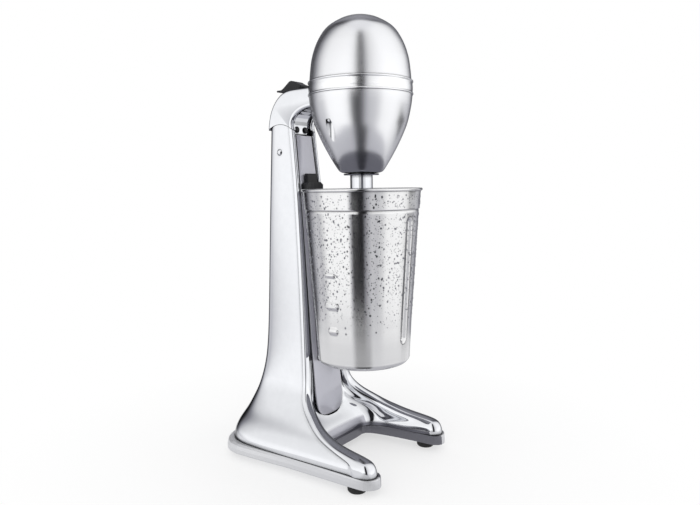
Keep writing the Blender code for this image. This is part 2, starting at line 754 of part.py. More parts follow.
def build_neck_casting():
    half = 15.9
    neck = plate("neck_casting", neck_side(), -half, half, chrome(), "YZ")
    bevel(neck, 2.6, 3, 50.0)
    under = knuckle_outline(KNUCKLE + 0.4, FRONT_SHELF + 0.4, (30.0, 125.0, 262.0))
    arc_part = under[1:-3]
    below = [(30.0, FRONT_SHELF + 0.4), *arc_part, (125.0, HINGE_Z), (125.0, 230.0), (30.0, 230.0)]
    cutter = plate("cut_neck_below", below, -30, 30, None, "YZ")
    recess = [
        (30.0, 309.0), (48.0, 308.6), (56.5, 305.6), (63.6, 300.6), (67.4, 294.0), (68.4, 287.0),
        (68.4, 270.0),
        (50.0, 270.0), (50.0, 290.0), (30.0, 300.0),
    ]
    channel = plate("cut_neck_channel", recess, -11.6, 11.6, None, "YZ")
    hollow = [
        (88.2, 270.0), (88.2, 286.0), (86.6, 297.0), (81.0, 307.0), (73.0, 313.4), (64.0, 315.6),
        (54.0, 315.8),
        (54.0, 309.6), (60.0, 307.6), (67.0, 302.4), (71.0, 296.0), (72.0, 288.0), (72.0, 270.0),
    ]
    inside = plate("cut_neck_inside", hollow, -12.6, 12.6, None, "YZ")
    egg = turned("cut_neck_egg", [(0, 380.0)] + grown(0.35) + [(0, 240.0)], None, steps=64)
    switch = box("cut_switch_hole", (-6.4, 61.0, 306.0), (6.4, 83.0, 330.0), None)
    bore = rod("cut_barrel_bore", PIN_RADIUS + GAP, 60.0, (0, HINGE_Y, HINGE_Z), None, "X", COARSE)
    barrel_outline = [
        (69.4, 296.0), (69.4, 266.0), (70.4, 260.6), (73.6, 257.4), (77.6, 256.4), (82.2, 257.8),
        (86.4, 261.6),
        (89.8, 267.0), (90.6, 272.0), (90.6, 290.0), (84.0, 296.0),
    ]
    barrel = plate("cut_barrel", barrel_outline, -BARREL_HALF, BARREL_HALF, None, "YZ")
    cut(neck, cutter, channel, inside, egg, switch)
    fuse(neck, barrel)
    cut(neck, bore)
    smooth(neck, 35.0)


def head_outline():
    """The outside of the whole head, from the crown to the nose, as radius and height."""
    band = [(43.4, BAND_HIGH + 0.3), (43.4, BAND_LOW - 0.3)]
    return list(DOME_PROFILE) + band + list(LOWER_PROFILE)[1:]


def grown(distance):
    return [(r + distance, z) for r, z in head_outline()][1:]


def build_neck_liner():
    """The liner plate that closes the underside of the arch, with its two screws."""
    outer = spline_through(
        [(44.4, 308.4), (48.2, 308.0), (56.2, 305.0), (63.1, 300.2), (66.9, 293.8), (67.9, 287.0),
         (67.9, 282.3)], 2,
    )
    inner = spline_through(
        [(65.9, 282.3), (65.9, 287.0), (65.1, 293.1), (61.7, 298.8), (55.3, 303.1), (47.8, 306.0),
         (44.4, 306.4)], 2,
    )
    liner = plate("neck_liner", outer + inner, -11.3, 11.3, chrome(), "YZ")
    cut(liner, bpy.data.objects["cut_neck_egg"])
    for side, x in (("left", 5.5), ("right", -5.5)):
        cut(liner, rod("cut_liner_" + side, 1.5, 8.0, (x, 68.0, 286.0), None, "Y", 12))
        head = [(0.0, 4.6), (1.2, 4.6), (1.2, 1.3), (2.6, 1.3), (2.6, 0.6), (1.8, 0.0), (0.0, 0.0)]
        turned("liner_screw_" + side, head, black_plastic(), (x, 64.3, 286.0), 12, axis="Y")
    smooth(liner, 35.0)


# ---------------------------------------------------------------- switch


def build_switch():
    z = 319.85
    bezel = box("switch_bezel", (-8.4, 57.6, z), (8.4, 86.4, z + 1.5), black_plastic(), 0.5, 2)
    cut(bezel, box("cut_bezel_window", (-6.7, 59.4, 315.0), (6.7, 84.8, 326.0), None))
    smooth(bezel, 35.0)
    body = box("switch_body", (-6.0, 61.4, 309.2), (6.0, 82.6, 318.0), black_plastic(), 0.5, 1)
    smooth(body, 35.0)
    profile = [
        (84.2, 321.2), (80.4, 323.2), (76.2, 326.2), (73.4, 328.3), (71.2, 328.8), (68.4, 328.2),
        (65.0, 326.2),
        (61.6, 324.9), (59.9, 324.0), (59.8, 322.2), (66.0, 319.6), (72.0, 318.5), (78.0, 319.6),
    ]
    rocker = plate("rocker", profile, -6.3, 6.3, black_plastic(), "YZ")
    bevel(rocker, 0.4, 1, 40.0)
    smooth(rocker, 50.0)


# ---------------------------------------------------------------- head


def build_head_shells():
    dome = turned("dome_shell", shell_profile(DOME_PROFILE, HEAD_WALL), brushed())
    band = [
        (42.2, BAND_HIGH), (43.1, BAND_HIGH - 0.3), (43.2, BAND_HIGH - 1.1), (42.5, BAND_HIGH - 1.5),
        (42.6, BAND_LOW + 1.5), (43.3, BAND_LOW + 1.1), (43.2, BAND_LOW + 0.3), (42.2, BAND_LOW),
        (40.4, BAND_LOW),
        (40.4, BAND_HIGH),
    ]
    ring = turned("trim_band", band, chrome(), closed=True)
    lower = turned("lower_shell", shell_profile(LOWER_PROFILE, HEAD_WALL), brushed(), closed=True)
    for side, sign in (("left", 1.0), ("right", -1.0)):
        groove = rod("cut_groove_" + side, 3.8, 30.0, (sign * 35.6, 3.5, 273.6), None, "Z", COARSE)
        seat = plate_seat(sign, side)
        fuse(lower, seat)
        cut(lower, groove)
        cut(lower, rod("cut_shell_screw_" + side, 1.3, 6.0, (sign * 35.6, 3.5, 290.6), None, "Z", 12))
        screw = [(0.0, 7.5), (1.0, 7.5), (1.0, 0.0), (2.8, 0.0), (2.9, -0.9), (2.0, -1.8), (0.0, -1.8)]
        turned("shell_screw_" + side, screw, chrome(), (sign * 35.6, 3.5, 288.2), FINE)
    smooth(dome, 40.0)
    smooth(ring, 40.0)
    smooth(lower, 40.0)
    nose = [(14.4, 246.2), (14.9, 245.6), (14.4, 244.9), (10.6, 244.9), (10.6, 246.2)]
    turned("nose_ring", nose, chrome(), closed=True)


def plate_seat(sign, side):
    """The pocket wall behind a shell screw: a block inside the lower shell, trimmed to its outside."""
    seat = box(
        "cut_seat_" + side,
        (min(sign * 29.4, sign * 40.0), -2.4, 264.5),
        (max(sign * 29.4, sign * 40.0), 9.4, 291.8),
        None,
    )
    boolean(seat, bpy.data.objects.get("cut_lower_solid") or lower_solid(), "INTERSECT")
    return seat


def lower_solid():
    profile = [(0.0, BAND_LOW - 1.0)] + [(r - 0.4, z) for r, z in LOWER_PROFILE[1:]] + [(0.0, NOSE_LOW)]
    return turned("cut_lower_solid", profile, None)


# ---------------------------------------------------------------- motor


def build_stator():
    stack = turned(
        "stator_stack",
        [(33.0, STACK_HIGH), (33.0, STACK_LOW), (18.8, STACK_LOW), (18.8, STACK_HIGH)],
        lamination(), steps=FINE, closed=True,
    )
    leg = (17.4, 19.2)
    for i, (sx, sy) in enumerate(((1, 1), (1, -1), (-1, 1), (-1, -1))):
        hole = rod(f"cut_coil_slot_{i}", 3.5, 60.0, (sx * leg[0], sy * leg[1], 309.0), None, "Z", 12)
        cut(stack, hole)
    smooth(stack, 35.0)
    for side, sign in (("left", 1.0), ("right", -1.0)):
        x, y = sign * leg[0], leg[1]
        bulge = sign * 24.5
        low, high = STACK_LOW - 3.6, STACK_HIGH + 3.6
        path = [
            (x, -y, low + 1.4), (x, -y, high - 1.4), (x + sign * 1.4, -y + 1.8, high),
            (bulge, -8.0, high + 0.6),
            (bulge, 8.0, high + 0.6), (x + sign * 1.4, y - 1.8, high), (x, y, high - 1.4),
            (x, y, low + 1.4),
            (x + sign * 1.4, y - 1.8, low), (bulge, 8.0, low - 0.6), (bulge, -8.0, low - 0.6),
            (x + sign * 1.4, -y + 1.8, low),
        ]
        tube("field_coil_" + side, path, 3.0, copper(), closed=True)


def build_brackets():
    upper = box("upper_bracket", (-7.0, -31.0, 332.0), (7.0, 31.0, 335.0), lamination(), 0.5, 1)
    fuse(upper, rod("cut_upper_boss", 7.4, 7.0, (0, 0, 337.0), None, "Z", FINE))
    for i, sign in enumerate((-1, 1)):
        low = STACK_HIGH + GAP
        middle = (0, sign * 28.2, (low + 334.0) / 2)
        fuse(upper, rod(f"cut_upper_leg_{i}", 3.0, 334.0 - low, middle, None, "Z", 12))
    cut(upper, rod("cut_upper_seat", 5.3, 30.0, (0, 0, 337.0), None, "Z", FINE))
    smooth(upper, 35.0)
    sleeve = [(5.0, 340.2), (5.0, 332.6), (SHAFT_RADIUS + GAP, 332.6), (SHAFT_RADIUS + GAP, 340.2)]
    turned("upper_bearing", sleeve, bronze(), steps=COARSE, closed=True)
    lower = turned(
        "lower_bracket",
        [
            (7.4, 276.0), (8.4, 273.4), (28.6, 272.6), (28.6, 270.6), (9.0, 270.6), (8.0, 269.6),
            (8.0, 258.0),
            (5.3, 258.0), (5.3, 276.0),
        ],
        lamination(), steps=FINE, closed=True,
    )
    smooth(lower, 35.0)
    sleeve = [(5.0, 275.6), (5.0, 258.4), (SHAFT_RADIUS + GAP, 258.4), (SHAFT_RADIUS + GAP, 275.6)]
    turned("lower_bearing", sleeve, bronze(), steps=COARSE, closed=True)


def build_brushes():
    z = 328.6
    for side, sign in (("front", -1.0), ("rear", 1.0)):
        ys = sorted((sign * 10.4, sign * 23.4))
        corners = ((-3.6, ys[0], z - 2.9), (3.6, ys[1], z + 2.9))
        holder = box("brush_holder_" + side, *corners, black_plastic(), 0.4, 1)
        cut(holder, box("cut_brush_" + side, (-2.0, ys[0] - 3, z - 1.7), (2.0, ys[1] + 3, z + 1.7), None))
        smooth(holder, 35.0)
        ys = sorted((sign * 8.6, sign * 19.0))
        box("brush_" + side, (-1.7, ys[0], z - 1.4), (1.7, ys[1], z + 1.4), carbon())


def build_rotor():
    core = turned(
        "armature_core",
        [(18.2, STACK_HIGH - 0.5), (18.2, STACK_LOW + 0.5), (SHAFT_RADIUS + GAP, STACK_LOW + 0.5),
         (SHAFT_RADIUS + GAP, STACK_HIGH - 0.5)],
        lamination(), steps=FINE, closed=True,
    )
    for i in range(8):
        angle = math.radians(45.0 * i + 22.5)
        x, y = 18.0 * math.cos(angle), 18.0 * math.sin(angle)
        slot = box(f"cut_armature_slot_{i}", (-2.6, -0.7, 290.0), (2.6, 0.7, 330.0), None)
        slot.location.x = x * MM
        slot.location.y = y * MM
        slot.rotation_euler = (0.0, 0.0, angle)
        cut(core, slot)
    smooth(core, 35.0)
    high = STACK_HIGH - 0.2
    winding = [(12.0, high + 2.6), (15.0, high + 1.8), (15.6, high), (4.2, high), (4.2, high + 2.6)]
    turned("armature_winding_upper", winding, copper(), steps=COARSE, closed=True)
    low = STACK_LOW + 0.2
    winding = [(15.6, low), (15.0, low - 1.8), (12.0, low - 2.6), (4.2, low - 2.6), (4.2, low)]
    turned("armature_winding_lower", winding, copper(), steps=COARSE, closed=True)
    ring = [(8.3, 331.4), (8.3, 325.2), (SHAFT_RADIUS + GAP, 325.2), (SHAFT_RADIUS + GAP, 331.4)]
    turned("commutator", ring, copper(), steps=FINE, closed=True)
    shaft = [
        (0.0, 345.0), (SHAFT_RADIUS - 0.5, 345.0), (SHAFT_RADIUS, 344.4), (SHAFT_RADIUS, 243.0),
        (SHAFT_RADIUS - 0.4, 242.4), (0.0, 242.4),
    ]
    turned("motor_shaft", shaft, lamination(), steps=COARSE)
    fan = turned(
        "cooling_fan",
        [(25.0, 282.6), (25.0, 281.2), (SHAFT_RADIUS + GAP, 281.2), (SHAFT_RADIUS + GAP, 290.0), (5.6, 290.0),
         (5.6, 282.6)],
        black_plastic(), steps=FINE, closed=True,
    )
    for i in range(7):
        angle = 2.0 * math.pi * i / 7.0
        blade = box(f"cut_fan_blade_{i}", (-9.2, -0.6, 281.8), (9.2, 0.6, 288.6), None)
        blade.location.x = 14.2 * math.cos(angle) * MM
        blade.location.y = 14.2 * math.sin(angle) * MM
        blade.rotation_euler = (0.0, 0.0, angle)
        fuse(fan, blade)
    smooth(fan, 35.0)


def build_spindle():
    hub = [
        (SHAFT_RADIUS + 0.5 + GAP, 249.4), (HUB_RADIUS - 0.6, 249.4), (HUB_RADIUS, 248.8),
        (HUB_RADIUS, 229.0),
        (HUB_RADIUS - 1.2, 227.4), (ROD_RADIUS + GAP, 227.4), (ROD_RADIUS + GAP, 249.4),
    ]
    turned("spindle_hub", hub[1:], chrome(), closed=True, steps=32)
    bar = [
        (0.0, 242.0), (ROD_RADIUS - 0.4, 242.0), (ROD_RADIUS, 241.5), (ROD_RADIUS, 106.4), (2.0, 106.4),
        (2.0, TIP_LOW + 0.6), (1.4, TIP_LOW), (0.0, TIP_LOW),
    ]
    turned("spindle_rod", bar, brushed(), steps=COARSE)
    upper = [
        (ROD_RADIUS + GAP, 151.6), (5.0, 151.6), (5.6, 149.4), (10.5, 148.2), (10.9, 147.4), (10.4, 146.8),
        (ROD_RADIUS + GAP, 146.8),
    ]
    turned("agitator_disc_upper", upper, brushed(), steps=FINE, closed=True)
    lower = turned(
        "agitator_disc_lower",
        [(2.0 + GAP, 106.1), (11.6, 106.1), (12.4, 105.5), (12.0, 104.7), (2.0 + GAP, 104.7)],
        brushed(), steps=FINE, closed=True,
    )
    for i in range(6):
        angle = math.pi * i / 3.0
        centre = (13.2 * math.cos(angle), 13.2 * math.sin(angle), 105.4)
        dent = rod(f"cut_agitator_{i}", 2.2, 8.0, centre, None, "Z", 10)
        cut(lower, dent)
    smooth(lower, 35.0)


# ---------------------------------------------------------------- cup


def cup_outer_radius(z):
    share = (z - CUP_FLOOR) / (CUP_RIM - CUP_FLOOR)
    return CUP_BOTTOM_RADIUS + 0.6 + (CUP_RIM_RADIUS - CUP_BOTTOM_RADIUS - 0.6) * share


def build_cup():
    """The steel cup: up the inside, over the rolled rim, and down the outside past the step."""
    top = CUP_RIM
    wall = CUP_WALL
    floor = CUP_FLOOR + 1.0
    inside = [
        (0.0, floor + wall), (30.0, floor + wall), (34.6, CUP_FLOOR + wall), (36.6, 89.2), (38.0, 90.8),
        (39.0, 93.4), (cup_outer_radius(160.0) - wall, 160.0),
        (cup_outer_radius(216.8) - 0.5 - wall, 216.8), (cup_outer_radius(218.4) - wall, 218.4),
        (48.4, top - 1.4), (48.9, top),
    ]
    outside = [
        (50.1, top), (50.7, top - 0.6), (50.7, top - 1.6), (50.1, top - 2.2), (49.3, top - 2.4),
        (cup_outer_radius(218.4), 218.4), (cup_outer_radius(216.8) - 0.5, 216.8),
        (cup_outer_radius(160.0), 160.0), (39.9, 93.0), (39.0, 90.0), (37.2, 88.3),
        (34.8, CUP_FLOOR), (31.0, CUP_FLOOR), (29.6, floor), (0.0, floor),
    ]
    cup = turned("malt_cup", inside + outside, brushed(), steps=40)
    smooth(cup, 40.0)


# ---------------------------------------------------------------- joints


HEAD = (
    "neck_casting", "neck_liner", "liner_screw_left", "liner_screw_right", "switch_bezel", "switch_body",
    "dome_shell", "trim_band", "lower_shell", "nose_ring", "shell_screw_left", "shell_screw_right",
    "stator_stack", "field_coil_left", "field_coil_right", "upper_bracket", "upper_bearing", "lower_bracket",
    "lower_bearing", "brush_holder_front", "brush_holder_rear", "brush_front", "brush_rear",
)
SPINDLE = (
    "armature_core", "armature_winding_upper", "armature_winding_lower", "commutator", "motor_shaft",
    "cooling_fan", "spindle_hub", "spindle_rod", "agitator_disc_upper", "agitator_disc_lower",
)


def frame_empty(name, parent, point):
    """An empty on a joint's axis; point is in millimetres from the spindle axis at table height."""
    empty = bpy.data.objects.new(name, None)
    PARTS.objects.link(empty)
    empty.empty_display_size = 0.02
    empty.parent = parent
    shift = Vector(point) - (Vector(parent["point"]) if parent else Vector((0.0, 0.0, 0.0)))
    empty.location = shift * MM
    empty["point"] = point
    return empty


def carry(obj, empty):
    """Parents an object to an empty without moving it."""
    obj.parent = empty
    obj.matrix_parent_inverse = Matrix.Translation(Vector(empty["point"]) * -MM)


def attach_to_joints():
    stand = frame_empty("stand_frame", None, (0.0, 0.0, 0.0))
    tilt = frame_empty("head_tilt_axis", stand, (0.0, HINGE_Y, HINGE_Z))
    spin = frame_empty("spindle_axis", tilt, (0.0, 0.0, NOSE_LOW))
    press = frame_empty("rocker_axis", tilt, (0.0, ROCKER_Y, ROCKER_Z))
    lift = frame_empty("cup_axis", stand, (0.0, 0.0, CUP_FLOOR))
    carriers = {name: tilt for name in HEAD}
    carriers.update({name: spin for name in SPINDLE})
    carriers["rocker"] = press
    carriers["malt_cup"] = lift
    for obj in list(PARTS.objects) + list(CUTTERS.objects):
        if obj.type != "EMPTY":
            carry(obj, carriers.get(obj.name, stand))
    stand.location.y = -(FRONT_Y + REAR_Y) / 2.0 * MM


def main():
    start_scene()
    build_stand_casting()
    build_column_panel()
    build_base_pan()
    build_feet()
    build_cup_guide()
    build_cup_rest()
    build_hinge()
    build_cord()
    build_neck_casting()
    build_neck_liner()
    build_switch()
    build_head_shells()
    build_stator()
    build_brackets()
    build_brushes()
    build_rotor()
    build_spindle()
    build_cup()
    attach_to_joints()


main()
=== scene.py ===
"""Looks for the milkshake mixer: finer surfaces, procedural materials, studio light and camera.

Lengths are in millimetres from the spindle axis at table height, as in the CAD source, and angles in degrees.
Values inside materials, lights and the camera are in Blender's own metres and radians.
"""

import math
import random

import bmesh
import bpy
from mathutils import Matrix, Vector


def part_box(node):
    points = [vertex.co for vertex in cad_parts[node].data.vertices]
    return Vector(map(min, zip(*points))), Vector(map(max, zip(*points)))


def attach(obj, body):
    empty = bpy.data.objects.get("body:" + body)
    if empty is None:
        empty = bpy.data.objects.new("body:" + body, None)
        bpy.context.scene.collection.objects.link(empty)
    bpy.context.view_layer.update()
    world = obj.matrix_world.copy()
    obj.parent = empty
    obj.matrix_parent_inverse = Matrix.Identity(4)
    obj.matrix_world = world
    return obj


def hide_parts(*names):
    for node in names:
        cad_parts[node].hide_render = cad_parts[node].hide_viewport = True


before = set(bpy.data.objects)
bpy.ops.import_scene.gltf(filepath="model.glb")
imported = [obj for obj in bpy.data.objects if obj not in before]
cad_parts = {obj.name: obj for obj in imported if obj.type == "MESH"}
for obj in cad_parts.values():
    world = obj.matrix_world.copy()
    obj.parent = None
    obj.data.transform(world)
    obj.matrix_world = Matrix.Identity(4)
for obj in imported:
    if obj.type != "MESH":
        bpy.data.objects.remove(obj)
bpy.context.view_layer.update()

MM = 0.001
WHITE = (1.0, 1.0, 1.0)
CUP_LOW, CUP_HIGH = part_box("malt_cup")
# The spindle axis in the record's frame, in metres.
AXIS_Y = (CUP_LOW.y + CUP_HIGH.y) / 2.0
GAP = 0.3
PAST_SIDES = 30.0
SEAM = 14.5
PANEL_BASE_Y = 32.8
PANEL_SLOPE = 0.1046
PANEL_THICK = 2.3
HINGE_Y = 77.2
HINGE_Z = 266.3
PIN_RADIUS = 2.6
NECK_HALF = 15.9
KNUCKLE = 24.0
FRONT_SHELF = 281.5
BARREL_HALF = 11.0
BAND_LOW = 309.4
BAND_HIGH = 320.5
HEAD_WALL = 1.6
HEAD_STEPS = 160
NOSE_LOW = 246.5
DOME_PROFILE = (
    (0.0, 373.5), (6.5, 373.0), (12.2, 371.6), (17.3, 369.6), (24.7, 365.3), (29.8, 360.6),
    (34.3, 353.6), (37.5, 346.3), (39.9, 337.6), (41.2, 327.8), (41.8, BAND_HIGH + 0.15),
)
LOWER_PROFILE = (
    (42.6, BAND_LOW - 0.15), (42.2, 305.4), (41.4, 299.9), (38.9, 288.6), (35.9, 280.4), (31.6, 271.0),
    (26.2, 260.8), (20.9, 252.0), (18.2, 248.3), (15.6, 247.0), (12.6, NOSE_LOW),
)
CUP_FLOOR = 87.7
CUP_RIM = 234.0
CUP_BOTTOM_RADIUS = 38.8
CUP_RIM_RADIUS = 49.4

# The camera stands off the near corner, level with the cup's rim. Azimuth, distance and height place it, and
# yaw, pitch and roll turn it from looking level at the axis.
CAMERA_AZIMUTH = 54.11
CAMERA_DISTANCE = 522.99
CAMERA_HEIGHT = 237.73
CAMERA_YAW = -1.14
CAMERA_PITCH = 6.28
CAMERA_ROLL = -0.78
CAMERA_LENS = 32.0


# ---------------- node helpers


class Nodes:
    """A small builder for shader nodes."""

    def __init__(self, tree):
        self.tree = tree

    def add(self, kind, **values):
        """A node, with properties and inputs set by name (To_Min for "To Min"), or inputs by number (i0)."""
        return self.fill(self.tree.nodes.new(kind), **values)

    def fill(self, node, **values):
        for key, value in values.items():
            name = key.replace("_", " ")
            if key[0] == "i" and key[1:].isdigit():
                self.put(node.inputs[int(key[1:])], value)
            elif name in node.inputs:
                self.put(node.inputs[name], value)
            else:
                setattr(node, key, value)
        return node

    def put(self, socket, value):
        """Links a socket, or sets its value; a colour of three numbers is opaque."""
        if isinstance(value, bpy.types.NodeSocket):
            self.tree.links.new(value, socket)
        elif socket.type == "RGBA":
            socket.default_value = (*value[:3], 1.0)
        else:
            socket.default_value = value

    def math(self, operation, *values):
        numbered = {f"i{index}": value for index, value in enumerate(values)}
        return self.add("ShaderNodeMath", operation=operation, **numbered).outputs[0]

    def times(self, a, b):
        """Two colours multiplied."""
        return self.add("ShaderNodeVectorMath", operation="MULTIPLY", i0=a, i1=b).outputs[0]

    def ramp(self, factor, stops):
        """A colour ramp through (position, grey or colour) stops."""
        node = self.add("ShaderNodeValToRGB", i0=factor)
        elements = node.color_ramp.elements
        while len(elements) < len(stops):
            elements.new(0.5)
        for element, (position, value) in zip(elements, stops):
            element.position = position
            colour = (value, value, value) if isinstance(value, float) else value
            element.color = (*colour, 1.0)
        return node.outputs[0]

    def noise(self, vector, scale, detail=3.0, roughness=0.5):
        settings = {"Vector": vector, "Scale": scale, "Detail": detail, "Roughness": roughness}
        return self.add("ShaderNodeTexNoise", **settings).outputs[0]

    def scaled(self, vector, scale):
        return self.add("ShaderNodeMapping", Vector=vector, Scale=scale).outputs[0]

    def mix(self, factor, a, b):
        """One colour faded into another."""
        return self.add("ShaderNodeMix", data_type="RGBA", i0=factor, i6=a, i7=b).outputs[2]

    def mix_shader(self, factor, a, b):
        return self.add("ShaderNodeMixShader", i0=factor, i1=a, i2=b).outputs[0]

    def glow(self, colour):
        return self.add("ShaderNodeEmission", Color=colour, Strength=1.0).outputs[0]

    def axes(self, vector):
        """The X, Y and Z of a vector."""
        return self.add("ShaderNodeSeparateXYZ", Vector=vector).outputs

    def show(self, surface):
        self.put(self.tree.nodes["Material Output"].inputs["Surface"], surface)


def new_material(name):
    mat = bpy.data.materials.new(name)
    mat.use_nodes = True
    tree = mat.node_tree
    shader = tree.nodes["Principled BSDF"]
    nodes = Nodes(tree)
    where = nodes.add("ShaderNodeTexCoord").outputs["Object"]
    return mat, nodes, shader, where


def bump(nodes, shader, height, strength, distance):
    node = nodes.add("ShaderNodeBump", Strength=strength, Distance=distance, Height=height)
    nodes.fill(shader, Normal=node.outputs[0])


def vary(nodes, shader, socket, source, low, high):
    """Maps a 0..1 value onto a socket's range."""
    node = nodes.add("ShaderNodeMapRange", Value=source, To_Min=low, To_Max=high)
    nodes.put(shader.inputs[socket], node.outputs[0])


def painted_crevice_shade(nodes, colour, depth, reach=0.003, full=0.55):
    """Paints shade into a colour where surfaces meet closely: darkens seams and creases by ambient occlusion.
    """
    occlusion = nodes.add("ShaderNodeAmbientOcclusion", samples=8, Distance=reach)
    clear = full * 0.2 + 0.8
    shade = nodes.ramp(occlusion.outputs["AO"], [(0.0, depth), (full, depth), (clear, 0.0), (1.0, 0.0)])
    return nodes.mix(shade, colour, (0.02, 0.021, 0.024))


def painted_edge_reflection(nodes, colour, start, full, shade):
    """Paints a dark reflection into a colour towards the silhouette, where a polished round reflects the
    unlit room behind it.
    """
    facing = nodes.add("ShaderNodeLayerWeight", Blend=0.5).outputs["Facing"]
    edge = nodes.ramp(facing, [(0.0, 0.0), (start, 0.0), (full, 0.95), (1.0, 0.98)])
    return nodes.mix(edge, colour, shade)


def near_middle(nodes, where, half, back, high):
    """1 inside a block of a half width, up to `back` in Y and `high` in Z, all in metres; 0 outside it."""
    x, y, z = nodes.axes(where)
    inside = nodes.math("LESS_THAN", nodes.math("ABSOLUTE", x), half)
    ahead = nodes.math("LESS_THAN", y, back)
    edge = {"From_Min": high - 1.0 * MM, "From_Max": high + 1.0 * MM}
    below = nodes.add("ShaderNodeMapRange", Value=z, To_Min=1.0, To_Max=0.0, **edge)
    return nodes.math("MULTIPLY", nodes.math("MULTIPLY", inside, ahead), below.outputs[0])


# ---------------- materials


def chrome_material(name="chrome_plate", painted_inner_shade=False):
    """Plated die casting: slight waviness under the plate, fine haze and faint wiping marks.

    When asked, shade is painted on the low walls between the legs, darkest on the legs' inner faces, and
    those walls are rougher.
    """
    mat, nodes, shader, where = new_material(name)
    wave = nodes.noise(where, 26.0, 2.0, 0.4)
    haze = nodes.noise(where, 140.0, 4.0, 0.6)
    wipe = nodes.noise(nodes.scaled(where, (60.0, 60.0, 900.0)), 1.0, 3.0, 0.6)
    colour = nodes.mix(haze, (0.68, 0.69, 0.715), (0.74, 0.75, 0.775))
    rough = nodes.math("ADD", nodes.math("MULTIPLY", haze, 0.05), nodes.math("MULTIPLY", wipe, 0.03))
    # Painted shade: the low walls between the legs and the legs' inner faces are darkened in colour.
    if painted_inner_shade:
        wall = near_middle(nodes, where, half=0.0300, back=AXIS_Y + 0.030, high=0.0235)
        leg = near_middle(nodes, where, half=0.0435, back=AXIS_Y + 0.022, high=0.0175)
        colour = nodes.mix(leg, nodes.mix(wall, colour, (0.42, 0.42, 0.46)), (0.15, 0.15, 0.175))
        rough = nodes.math("ADD", rough, nodes.math("MULTIPLY", nodes.math("MAXIMUM", wall, leg), 0.25))
    # Painted dark reflection at the silhouette, then painted shade in seams and creases.
    colour = painted_edge_reflection(nodes, colour, 0.46, 0.68, (0.035, 0.037, 0.045))
    full = 0.72 if painted_inner_shade else 0.55
    colour = painted_crevice_shade(nodes, colour, 0.97, 0.0035, full)
    nodes.fill(shader, Base_Color=colour, Roughness=nodes.math("ADD", rough, 0.015), Metallic=1.0)
    bump(nodes, shader, wave, 0.14, 0.0006)
    return mat


def brushed_material(name, tint, low, high, streak, anisotropy, turn=0.0):
    """Spun steel: fine rings round the axis, so highlights stretch along it."""
    mat, nodes, shader, where = new_material(name)
    rings = nodes.noise(nodes.scaled(where, (8.0, 8.0, 2600.0)), 1.0, 5.0, 0.7)
    broad = nodes.noise(nodes.scaled(where, (6.0, 6.0, 160.0)), 1.0, 3.0, 0.5)
    blotch = nodes.noise(where, 40.0, 3.0, 0.6)
    dark = tuple(c * 0.90 for c in tint)
    spun = nodes.mix(nodes.math("MULTIPLY", rings, broad), dark, tint)
    # Painted dark reflection at the silhouette, and painted shade in seams and creases.
    spun = painted_edge_reflection(nodes, spun, 0.74, 0.92, (0.05, 0.05, 0.06))
    nodes.fill(shader, Base_Color=painted_crevice_shade(nodes, spun, 0.9, 0.002), Metallic=1.0)
    mixed = nodes.math("ADD", nodes.math("MULTIPLY", rings, 0.5), nodes.math("MULTIPLY", blotch, 0.5))
    vary(nodes, shader, "Roughness", mixed, low, high)
    around = nodes.add("ShaderNodeTangent", direction_type="RADIAL", axis="Z").outputs[0]
    nodes.fill(shader, Anisotropic=anisotropy, Anisotropic_Rotation=turn, Tangent=around)
    bump(nodes, shader, rings, streak, 0.00005)
    return mat


def camera_strip(nodes, where, centre):
    """0 on the side of the spindle axis that faces the camera and 1 elsewhere, with soft edges."""
    x, y, _ = nodes.axes(where)
    place = camera_place()
    bearing = nodes.math("ARCTAN2", nodes.math("SUBTRACT", y, AXIS_Y), x)
    middle = math.atan2(place.y - AXIS_Y, place.x) + centre
    aside = nodes.math("ABSOLUTE", nodes.math("SUBTRACT", bearing, middle))
    return nodes.ramp(aside, [(0.0, 0.0), (0.24, 0.0), (0.40, 1.0)])


def cup_material():
    """Spun steel that other polished pieces see as a painted reflection: a dark grey glow, black on the
    camera's side.
    """
    mat = brushed_material("spun_cup", (0.77, 0.77, 0.775), 0.12, 0.20, 0.2, 0.8, 0.25)
    nodes = Nodes(mat.node_tree)
    reflected = nodes.add("ShaderNodeLightPath").outputs["Is Glossy Ray"]
    where = nodes.add("ShaderNodeTexCoord").outputs["Object"]
    # Painted reflection: a glow that glossy rays see in place of the cup, black on the camera's side.
    tone = nodes.mix(camera_strip(nodes, where, 0.04), (0.01, 0.01, 0.015), (0.17, 0.17, 0.20))
    steel = mat.node_tree.nodes["Principled BSDF"].outputs[0]
    nodes.show(nodes.mix_shader(nodes.math("MULTIPLY", reflected, 0.75), steel, nodes.glow(tone)))
    return mat


def paint_material(name, dark, light, rough, metallic, grain_scale, grain, shaded_inside=False):
    """Sprayed paint: orange peel and a faint drift of tone, darker on the walls between the legs if asked."""
    mat, nodes, shader, where = new_material(name)
    drift = nodes.noise(where, 14.0, 3.0, 0.5)
    peel = nodes.noise(where, grain_scale, 2.0, 0.5)
    colour = nodes.mix(drift, dark, light)
    # Painted shade on the walls between the legs, when asked.
    if shaded_inside:
        inner = near_middle(nodes, where, half=0.0485, back=AXIS_Y + 0.045, high=0.050)
        colour = nodes.mix(inner, colour, (0.13, 0.13, 0.15))
    # Painted shade in seams and creases.
    nodes.fill(shader, Base_Color=painted_crevice_shade(nodes, colour, 0.9, 0.002), Metallic=metallic)
    vary(nodes, shader, "Roughness", peel, rough * 0.75, rough * 1.25)
    bump(nodes, shader, peel, grain, 0.0002)
    return mat


